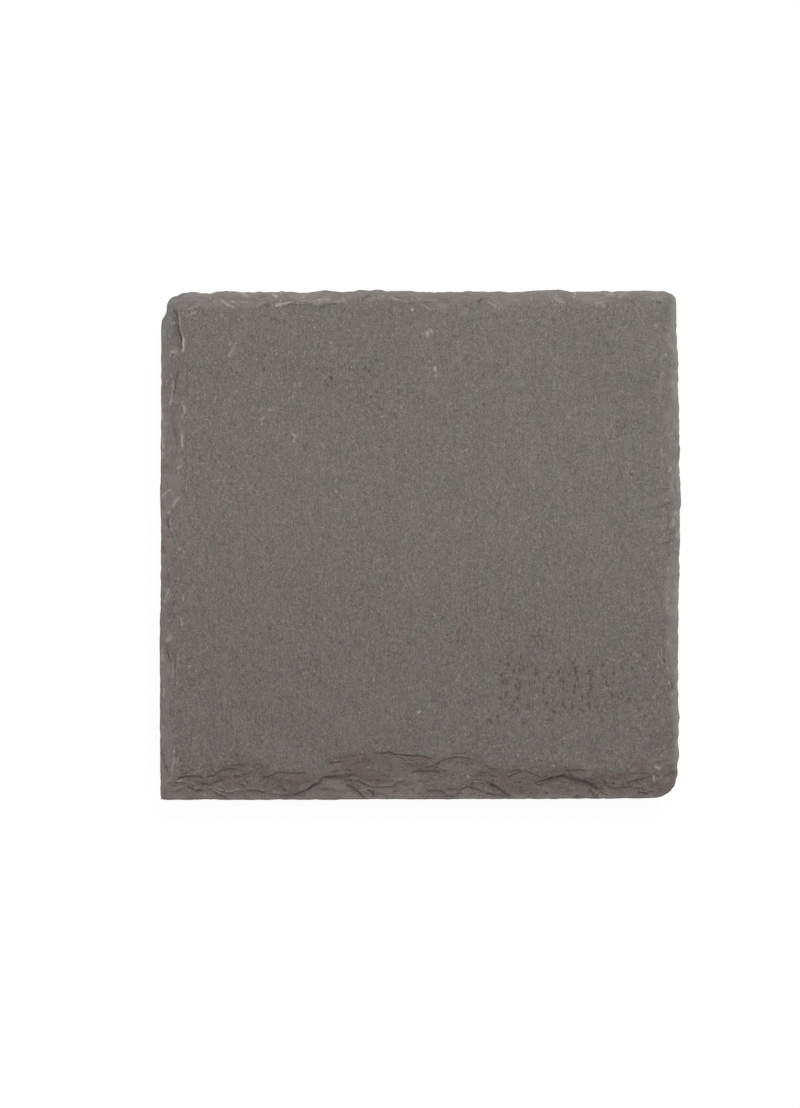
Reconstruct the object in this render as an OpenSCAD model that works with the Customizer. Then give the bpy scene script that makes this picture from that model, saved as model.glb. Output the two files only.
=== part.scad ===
// Square drink coaster of riven slate with hand-dressed edges, on four stuck-on rubber feet.
// +X is right, +Y runs from the front edge to the back edge and +Z is up.
// The origin is on the table, under the middle of the slab.

/* [Slab] */
// Width of the slab from its left edge to its right edge
slab_w = 100; // [80:1:150]
// Depth of the slab from its front edge to its back edge
slab_d = 98; // [80:1:150]
// Thickness of the slab between its two cleft faces
slab_t = 6; // [4:0.5:12]
// Deepest bite out of the straight outline, at a knocked corner
outline_bite = 2.4; // [0.4:0.2:4]

/* [Dressed edges] */
// Widest reach of the chips in from the front edge
front_band = 9; // [4:0.5:14]
// Widest reach of the chips in from the right edge
right_band = 3.6; // [2:0.2:8]
// Widest reach of the chips in from the back edge
back_band = 3.8; // [2:0.2:8]
// Widest reach of the chips in from the left edge
left_band = 4.4; // [2:0.2:8]
// How far the edge of the underside lies in from the outline
undercut = 0.5; // [0.1:0.1:1.5]

/* [Feet] */
// Diameter of a foot where it meets its adhesive
foot_dia = 10; // [7:0.5:16]
// Height of a foot
foot_h = 2; // [1.5:0.25:5]
// Radius that a foot loses from its adhesive down to its tread
foot_draft = 0.5; // [0.1:0.1:1]
// Radius of the round edge between a foot's wall and its tread
foot_edge_r = 0.6; // [0.2:0.1:1]
// Distance from the sides of the slab to the centre of a foot
foot_inset = 14; // [10:1:25]

/* [Adhesive] */
// Thickness of the adhesive between a foot and the slab
adhesive_t = 0.2; // [0.1:0.05:0.6]
// How far the adhesive stays in from the rim of its foot
adhesive_margin = 0.4; // [0.1:0.1:1]

/* [Hidden] */
$fn = 96;

slate_colour = [0.45, 0.43, 0.42];
rubber_colour = [0.13, 0.13, 0.13];
adhesive_colour = [0.86, 0.84, 0.78];

// Signs of the four sides
left = -1;
right = 1;
front = -1;
back = 1;

// How far a trimming shape runs past the faces that it trims
overrun = 1;

// Steps along each side of the slab, and the share by which they crowd towards its ends, so that the
// knocked corners keep their shape
side_steps = 72;
crowding_share = 0.5;

// Each table below runs along one side of the slab, the front and back from left to right and the
// left and right from front to back: [share of the way along, share of the size that it follows].

// Outline, as the bite out of a straight side
front_outline_shares = [
  [0, 0.08], [0.01, 0.02], [0.03, 0], [0.3, 0.02], [0.4, 0.07], [0.6, 0.06], [0.8, 0.12],
  [0.93, 0.16], [0.965, 0.25], [0.98, 0.42], [0.99, 0.58], [1, 0.94]
];
right_outline_shares = [
  [0, 0.66], [0.004, 0.56], [0.02, 0.38], [0.05, 0.3], [0.065, 0.2], [0.1, 0.24], [0.25, 0.32], [0.34, 0.22],
  [0.45, 0.14], [0.53, 0.06], [0.58, 0], [0.63, 0.1], [0.72, 0.16], [0.82, 0.24], [0.93, 0.32],
  [0.985, 0.4], [1, 0.56]
];
back_outline_shares = [
  [0, 0.9], [0.005, 0.7], [0.015, 0.4], [0.03, 0.2], [0.06, 0.14], [0.085, 0.26], [0.13, 0.14], [0.17, 0.2],
  [0.24, 0.16], [0.3, 0.2], [0.34, 0.08], [0.37, 0.12], [0.4, 0], [0.43, 0.03], [0.47, 0.14], [0.58, 0.12],
  [0.62, 0.06], [0.65, 0.2], [0.72, 0.16], [0.77, 0.06], [0.8, 0.14], [0.86, 0.06], [0.95, 0.07],
  [0.985, 0.14], [0.995, 0.3], [1, 0.46]
];
left_outline_shares = [
  [0, 0.06], [0.01, 0.02], [0.03, 0], [0.36, 0.02], [0.42, 0.08], [0.58, 0.06], [0.62, 0.02], [0.8, 0.07],
  [0.955, 0.08], [0.965, 0.2], [0.975, 0.28], [0.995, 0.32], [1, 0.6]
];

// Upper break, where the cleft face ends, as a share of the side's band
front_upper_shares = [
  [0, 0.48], [0.05, 0.46], [0.08, 0.54], [0.1, 0.65], [0.13, 0.74], [0.155, 0.78], [0.175, 0.7], [0.185, 0.48],
  [0.21, 0.54], [0.25, 0.51], [0.295, 0.48], [0.31, 0.74], [0.34, 0.86], [0.38, 0.97], [0.435, 1], [0.465, 0.94],
  [0.495, 0.88], [0.52, 0.73], [0.54, 0.77], [0.56, 0.86], [0.59, 0.88], [0.615, 0.79], [0.625, 0.67],
  [0.655, 0.7], [0.67, 0.64], [0.695, 0.53], [0.715, 0.58], [0.735, 0.49], [0.78, 0.51], [0.81, 0.6],
  [0.87, 0.6], [0.9, 0.47], [0.92, 0.53], [0.94, 0.7], [0.95, 0.79], [0.975, 0.7], [1, 0.62]
];
right_upper_shares = [
  [0, 0.72], [0.055, 0.48], [0.14, 0.46], [0.23, 0.58], [0.32, 0.86], [0.37, 0.96], [0.42, 0.7], [0.48, 0.56],
  [0.53, 0.34], [0.58, 0.64], [0.63, 0.76], [0.71, 0.9], [0.79, 0.56], [0.85, 0.42], [0.92, 0.64], [1, 0.48]
];
back_upper_shares = [
  [0, 0.9], [0.03, 0.76], [0.07, 0.87], [0.11, 0.97], [0.155, 0.9], [0.18, 0.72], [0.22, 0.56], [0.28, 0.71],
  [0.33, 0.63], [0.44, 0.56], [0.49, 0.6], [0.51, 0.87], [0.54, 0.86], [0.57, 0.61], [0.62, 0.6], [0.655, 0.98],
  [0.67, 0.72], [0.73, 0.6], [0.79, 0.64], [0.855, 0.66], [0.92, 0.46], [0.95, 0.66], [1, 0.56]
];
left_upper_shares = [
  [0, 0.7], [0.055, 0.75], [0.12, 0.62], [0.21, 0.52], [0.3, 0.48], [0.38, 0.44], [0.43, 0.5], [0.51, 0.62],
  [0.56, 0.58], [0.62, 0.76], [0.66, 0.84], [0.71, 0.96], [0.77, 0.88], [0.81, 0.75], [0.86, 0.75], [0.92, 0.97],
  [0.95, 0.89], [1, 0.66]
];

// Lower break, where a second row of chips ends, as a share of the upper break's reach
front_lower_shares = [
  [0, 0.49], [0.035, 0.35], [0.06, 0.4], [0.085, 0.17], [0.145, 0.24], [0.18, 0.27], [0.21, 0.14], [0.25, 0.23],
  [0.285, 0.54], [0.3, 0.67], [0.33, 0.56], [0.375, 0.5], [0.39, 0.31], [0.44, 0.26], [0.46, 0.41], [0.485, 0.6],
  [0.535, 0.72], [0.555, 0.33], [0.575, 0.2], [0.6, 0.26], [0.625, 0.26], [0.64, 0.45], [0.675, 0.14],
  [0.705, 0.38], [0.73, 0.65], [0.765, 0.75], [0.81, 0.74], [0.845, 0.6], [0.87, 0.4], [0.915, 0.44],
  [0.95, 0.5], [0.965, 0.6], [1, 0.5]
];
right_lower_shares = [
  [0, 0.5], [0.08, 0.6], [0.2, 0.36], [0.3, 0.55], [0.4, 0.3], [0.52, 0.6], [0.66, 0.4], [0.74, 0.6],
  [0.87, 0.34], [1, 0.5]
];
back_lower_shares = [
  [0, 0.5], [0.06, 0.62], [0.14, 0.34], [0.2, 0.66], [0.31, 0.7], [0.37, 0.35], [0.45, 0.55], [0.5, 0.3],
  [0.58, 0.62], [0.66, 0.36], [0.74, 0.58], [0.8, 0.3], [0.88, 0.66], [0.95, 0.4], [1, 0.5]
];
left_lower_shares = [
  [0, 0.45], [0.1, 0.6], [0.22, 0.34], [0.35, 0.56], [0.46, 0.36], [0.55, 0.58], [0.68, 0.32], [0.8, 0.6],
  [0.9, 0.38], [1, 0.5]
];

front_side = [front_band, front_outline_shares, front_upper_shares, front_lower_shares];
right_side = [right_band, right_outline_shares, right_upper_shares, right_lower_shares];
back_side = [back_band, back_outline_shares, back_upper_shares, back_lower_shares];
left_side = [left_band, left_outline_shares, left_upper_shares, left_lower_shares];

// Heights of the dressed edge as shares of the thickness: the top of the wall, the foot and the head
// of the lower riser, and the foot of the upper riser
rim_share = 0.37;
lower_foot_share = 0.53;
lower_head_share = 0.68;
upper_foot_share = 0.86;

// Share of its chip's reach that the face of a riser takes up
riser_run_share = 0.22;

// Rings of the rough block from below the underside to above the cleft face, each with its height, its
// inset, and its shares of the lower and of the upper break's reach. The first and last run on at the
// slopes of the wall and of the upper riser, so that they pass the two cleft faces.
wall_slope_share = overrun / (rim_share * slab_t);
riser_slope_share = riser_run_share * overrun / ((1 - upper_foot_share) * slab_t);
rings = [
  [-overrun, undercut * (1 + wall_slope_share), 0, 0],
  [rim_share * slab_t, 0, 0, 0],
  [lower_foot_share * slab_t, 0, 1 - riser_run_share, 0],
  [lower_head_share * slab_t, 0, 1, 0],
  [upper_foot_share * slab_t, 0, riser_run_share, 1 - riser_run_share],
  [slab_t + overrun, 0, -riser_slope_share, 1 + riser_slope_share]
];
ring_size = 4 * side_steps;

// The slab stands on the feet and their adhesive
slab_z = foot_h + adhesive_t;
adhesive_r = foot_dia / 2 - adhesive_margin;

function mix(a, b, share) = a + (b - a) * share;

// Share of the way along a side at each step
function step_share(i) = mix(i / side_steps, (1 - cos(180 * i / side_steps)) / 2, crowding_share);

// How far a ring lies in from a straight side, at a share of the way along it
function upper_reach(side, share) = side[0] * lookup(share, side[2]);
function lower_reach(side, share) = upper_reach(side, share) * lookup(share, side[3]);
function inset(side, ring, share) =
  outline_bite * lookup(share, side[1]) + ring[1]
  + ring[2] * lower_reach(side, share) + ring[3] * upper_reach(side, share);

// Places of a ring's points on each of the four sides
function front_y(ring, share) = -slab_d / 2 + inset(front_side, ring, share);
function back_y(ring, share) = slab_d / 2 - inset(back_side, ring, share);
function left_x(ring, share) = -slab_w / 2 + inset(left_side, ring, share);
function right_x(ring, share) = slab_w / 2 - inset(right_side, ring, share);

// One ring of the rough block, anticlockwise from its front left corner
function ring_points(ring) = [
  for (i = [0 : side_steps - 1]) let (share = step_share(i))
    [mix(left_x(ring, 0), right_x(ring, 0), share), front_y(ring, share), ring[0]],
  for (i = [0 : side_steps - 1]) let (share = step_share(i))
    [right_x(ring, share), mix(front_y(ring, 1), back_y(ring, 1), share), ring[0]],
  for (i = [side_steps : -1 : 1]) let (share = step_share(i))
    [mix(left_x(ring, 1), right_x(ring, 1), share), back_y(ring, share), ring[0]],
  for (i = [side_steps : -1 : 1]) let (share = step_share(i))
    [left_x(ring, share), mix(front_y(ring, 0), back_y(ring, 0), share), ring[0]]
];

// Stone as it is dressed, with its chips, before its two cleft faces are set
module rough_block() {
  top_ring = len(rings) - 1;
  under_point = len(rings) * ring_size;
  over_point = under_point + 1;
  points = [
    for (ring = rings) each ring_points(ring),
    [0, 0, rings[0][0]],
    [0, 0, rings[top_ring][0]]
  ];
  faces = [
    for (k = [0 : top_ring - 1], i = [0 : ring_size - 1])
      let (a = k * ring_size + i, b = k * ring_size + (i + 1) % ring_size)
        each [[a, a + ring_size, b + ring_size], [a, b + ring_size, b]],
    for (i = [0 : ring_size - 1])
      [under_point, i, (i + 1) % ring_size],
    for (i = [0 : ring_size - 1])
      [over_point, top_ring * ring_size + (i + 1) % ring_size, top_ring * ring_size + i]
  ];
  polyhedron(points, faces);
}

// Slice between the two cleavage planes along which the stone was split
module cleft_slice() {
  translate([-slab_w / 2 - overrun, -slab_d / 2 - overrun, 0])
    cube([slab_w + 2 * overrun, slab_d + 2 * overrun, slab_t]);
}

module slate_slab() {
  color(slate_colour)
    translate([0, 0, slab_z])
      intersection() {
        rough_block();
        cleft_slice();
      }
}

// Centre of a foot's tread, near the corner on the sides with these signs
function foot_place(side_x, side_y) =
  [side_x * (slab_w / 2 - foot_inset), side_y * (slab_d / 2 - foot_inset), 0];

// Half section of a foot: flat tread, round edge tangent to the tread and the wall, drafted wall, flat top
module foot_section() {
  draft_angle = atan2(foot_draft, foot_h);
  edge_centre = [foot_dia / 2 - foot_draft - foot_edge_r * tan(45 - draft_angle / 2), foot_edge_r];
  edge_steps = 8;
  edge = [
    for (i = [0 : edge_steps]) let (angle = mix(-90, -draft_angle, i / edge_steps))
      edge_centre + foot_edge_r * [cos(angle), sin(angle)]
  ];
  polygon(concat([[0, 0]], edge, [[foot_dia / 2, foot_h], [0, foot_h]]));
}

module foot(side_x, side_y) {
  color(rubber_colour)
    translate(foot_place(side_x, side_y))
      rotate_extrude()
        foot_section();
}

module adhesive_disc(side_x, side_y) {
  color(adhesive_colour)
    translate(foot_place(side_x, side_y) + [0, 0, foot_h])
      cylinder(h = adhesive_t, r = adhesive_r);
}

slate_slab();
foot(left, front);  // foot_front_left
foot(right, front);  // foot_front_right
foot(left, back);  // foot_back_left
foot(right, back);  // foot_back_right
adhesive_disc(left, front);  // adhesive_front_left
adhesive_disc(right, front);  // adhesive_front_right
adhesive_disc(left, back);  // adhesive_back_left
adhesive_disc(right, back);  // adhesive_back_right
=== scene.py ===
# %% [markdown]
# # A riven slate drink coaster
#
# The object is a square of natural slate, split along its cleavage and dressed with a hammer round its four
# edges, on four stuck-on rubber feet. The solids already have the true size and the main chips, so this
# lesson adds what stone has and a solid lacks: flaked edges, the grain of the cleft face, and colour.

# %% Load the frame
import math

import bmesh
import bpy
import numpy as np
from mathutils.kdtree import KDTree
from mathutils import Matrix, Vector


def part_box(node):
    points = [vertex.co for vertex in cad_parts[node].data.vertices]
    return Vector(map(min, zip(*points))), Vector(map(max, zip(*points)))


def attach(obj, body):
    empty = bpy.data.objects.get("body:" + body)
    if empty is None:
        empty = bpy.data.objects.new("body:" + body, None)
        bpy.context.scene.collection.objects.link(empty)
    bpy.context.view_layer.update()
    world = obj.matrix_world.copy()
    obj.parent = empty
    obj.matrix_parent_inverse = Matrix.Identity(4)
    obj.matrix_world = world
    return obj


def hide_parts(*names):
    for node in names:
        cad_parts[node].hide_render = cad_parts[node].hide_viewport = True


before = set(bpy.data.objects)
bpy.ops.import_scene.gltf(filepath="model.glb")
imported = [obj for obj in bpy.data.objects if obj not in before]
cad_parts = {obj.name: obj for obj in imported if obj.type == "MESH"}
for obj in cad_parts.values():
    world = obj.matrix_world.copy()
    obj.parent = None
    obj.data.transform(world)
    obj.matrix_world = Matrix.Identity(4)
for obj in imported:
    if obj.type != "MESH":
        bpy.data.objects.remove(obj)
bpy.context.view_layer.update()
MM = 0.001
slab_low, slab_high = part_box("slate_slab")
slab_w, slab_d, slab_t = (size / MM for size in slab_high - slab_low)
print("slab, mm:", round(slab_w, 2), round(slab_d, 2), round(slab_t, 2))

# %% [markdown]
# ## The camera
#
# The photograph looks straight down. A camera in Blender looks along its own -Z with +Y up, so an unturned
# camera above the slab already has the right view. Its lens follows from the width of the slab in the
# photograph, and a small step to the side puts the slab where the photograph has it, with no lens shift.

# %% Camera
PHOTO_W, PHOTO_H = 800, 1108
OUTLINE_LEFT, OUTLINE_RIGHT = 160, 680.6
OUTLINE_TOP, OUTLINE_BOTTOM = 289.8, 799.8
CAMERA_ABOVE = 1.2
SENSOR = 36

pixel = slab_w / (OUTLINE_RIGHT - OUTLINE_LEFT)
middle_px = ((OUTLINE_LEFT + OUTLINE_RIGHT) / 2, (OUTLINE_TOP + OUTLINE_BOTTOM) / 2)
camera_data = bpy.data.cameras.new("camera")
camera_data.sensor_width = SENSOR
camera_data.lens = SENSOR * CAMERA_ABOVE / (PHOTO_H * pixel * MM)
camera = bpy.data.objects.new("camera", camera_data)
bpy.context.collection.objects.link(camera)
camera.location = (
    (PHOTO_W / 2 - middle_px[0]) * pixel * MM,
    (middle_px[1] - PHOTO_H / 2) * pixel * MM,
    (slab_low.z + slab_high.z) / 2 + CAMERA_ABOVE,
)
bpy.context.scene.camera = camera
print("lens, mm:", round(camera_data.lens, 1), "pixel, mm:", round(pixel, 4))

# %% [markdown]
# ## The dressed sides
#
# A hammer takes the edge of a slate off in a rough slope. Each side needs two short lists of points, read
# off the object and given as a share of the way along the side and a length in millimetres: how far the
# outline has been bitten in, and how far the slope reaches in from it. Front and back run from left to
# right, and left and right run from front to back.

# %% Outlines and slopes
FRONT_BITES = [
    (0, 0.19), (0.005, 0.04), (0.016, 0), (0.033, 0.13), (0.057, 0), (0.092, 0.1), (0.127, 0), (0.2, 0.03),
    (0.233, 0.1), (0.272, 0), (0.303, 0.1), (0.321, 0.02), (0.374, 0.08), (0.444, 0.13), (0.546, 0.15),
    (0.673, 0.19), (0.771, 0.23), (0.84, 0.25), (0.894, 0.3), (0.937, 0.33), (0.967, 0.4), (0.977, 0.62),
    (0.984, 0.9), (0.989, 1.25), (0.993, 1.45), (0.996, 1.95), (1, 2.3),
]
FRONT_REACH = [
    (0, 4.2), (0.035, 4.4), (0.08, 4.4), (0.12, 5.7), (0.165, 7.6), (0.2, 7.4), (0.225, 5.6), (0.27, 5.4),
    (0.31, 6.5), (0.34, 7.6), (0.37, 8), (0.41, 9), (0.47, 8.7), (0.53, 8), (0.575, 8.8), (0.615, 8.2),
    (0.655, 6.5), (0.685, 5.8), (0.72, 6), (0.76, 5.7), (0.81, 5.9), (0.86, 5.9), (0.9, 6), (0.93, 7.3),
    (0.955, 6.7), (0.985, 7.2), (1, 6),
]
RIGHT_BITES = [
    (0, 1.65), (0.004, 1.25), (0.012, 0.92), (0.034, 0.69), (0.053, 0.61), (0.071, 0.35), (0.089, 0.56),
    (0.107, 0.44), (0.144, 0.37), (0.178, 0.49), (0.243, 0.61), (0.29, 0.54), (0.381, 0.4), (0.446, 0.29),
    (0.49, 0.29), (0.519, 0.15), (0.546, 0.17), (0.582, 0), (0.608, 0.08), (0.629, 0.27), (0.706, 0.27),
    (0.765, 0.38), (0.819, 0.52), (0.856, 0.5), (0.885, 0.76), (0.911, 0.58), (0.929, 0.82), (0.947, 0.82),
    (0.962, 0.98), (0.976, 1.0), (0.99, 0.94), (0.995, 1.15), (1, 1.6),
]
RIGHT_REACH = [
    (0, 2.3), (0.05, 2.5), (0.1, 1.7), (0.18, 1.7), (0.26, 2.1), (0.34, 2.9), (0.39, 3.3), (0.44, 2.5),
    (0.49, 1.9), (0.54, 1.4), (0.585, 2.1), (0.63, 2.7), (0.71, 3.3), (0.79, 2.1), (0.85, 1.7), (0.91, 2.3),
    (1, 1.7),
]
BACK_BITES = [
    (0, 2.05), (0.004, 1.7), (0.008, 1.46), (0.016, 1.25), (0.02, 1.02), (0.025, 0.64), (0.042, 0.52),
    (0.077, 0.75), (0.095, 0.5), (0.113, 0.35), (0.141, 0.44), (0.167, 0.58), (0.2, 0.46), (0.246, 0.4),
    (0.274, 0.58), (0.31, 0.21), (0.34, 0.4), (0.363, 0.27), (0.381, 0.08), (0.399, 0.13), (0.417, 0),
    (0.435, 0.33), (0.471, 0.4), (0.497, 0.31), (0.524, 0.44), (0.578, 0.42), (0.596, 0.27), (0.618, 0.42),
    (0.667, 0.27), (0.685, 0.48), (0.739, 0.15), (0.775, 0.17), (0.792, 0.4), (0.864, 0.27), (0.953, 0.25),
    (0.973, 0.42), (0.983, 0.31), (0.991, 0.48), (0.995, 0.69), (1, 1.0),
]
BACK_REACH = [
    (0, 2.9), (0.025, 3.5), (0.055, 2.9), (0.13, 3.5), (0.175, 3.4), (0.2, 2.5), (0.235, 2.1), (0.3, 2.9),
    (0.35, 2.3), (0.44, 2.1), (0.495, 2.3), (0.52, 3.3), (0.55, 3.5), (0.575, 2.3), (0.64, 2.4),
    (0.66, 3.6), (0.68, 2.7), (0.71, 2.3), (0.8, 2.1), (0.855, 2.5), (0.895, 1.9), (0.975, 2.3), (1, 1.9),
]
LEFT_BITES = [
    (0, 0.3), (0.006, 0.22), (0.018, 0.18), (0.078, 0.12), (0.15, 0.08), (0.238, 0.06), (0.3, 0),
    (0.344, 0.06), (0.398, 0.18), (0.452, 0.25), (0.561, 0.27), (0.597, 0.1), (0.615, 0.1), (0.651, 0.2),
    (0.705, 0.23), (0.759, 0.31), (0.939, 0.31), (0.957, 0.42), (0.962, 0.66), (0.967, 0.92), (0.971, 1.1),
    (0.977, 1.3), (0.991, 1.42), (0.995, 1.55), (1, 1.85),
]
LEFT_REACH = [
    (0, 3.1), (0.1, 3.3), (0.13, 2.9), (0.2, 2.5), (0.35, 2.2), (0.45, 2.3), (0.51, 2.7), (0.57, 2.8),
    (0.61, 4), (0.66, 4.8), (0.73, 4.4), (0.8, 3.1), (0.83, 3), (0.87, 3.6), (0.91, 4.4), (0.94, 3.9),
    (0.97, 2.8), (1, 1.9),
]

# Each side: bites, reach, fall of the slope, fall of the last bit at the rim, and raggedness, in millimetres
SIDES = {
    "front": (FRONT_BITES, FRONT_REACH, 1.9, 0.5, 0.05),
    "right": (RIGHT_BITES, RIGHT_REACH, 0.7, 0.35, 0.13),
    "back": (BACK_BITES, BACK_REACH, 1.1, 0.4, 0.14),
    "left": (LEFT_BITES, LEFT_REACH, 0.7, 0.35, 0.06),
}
print("sides:", {name: len(side[1]) for name, side in SIDES.items()})
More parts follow.
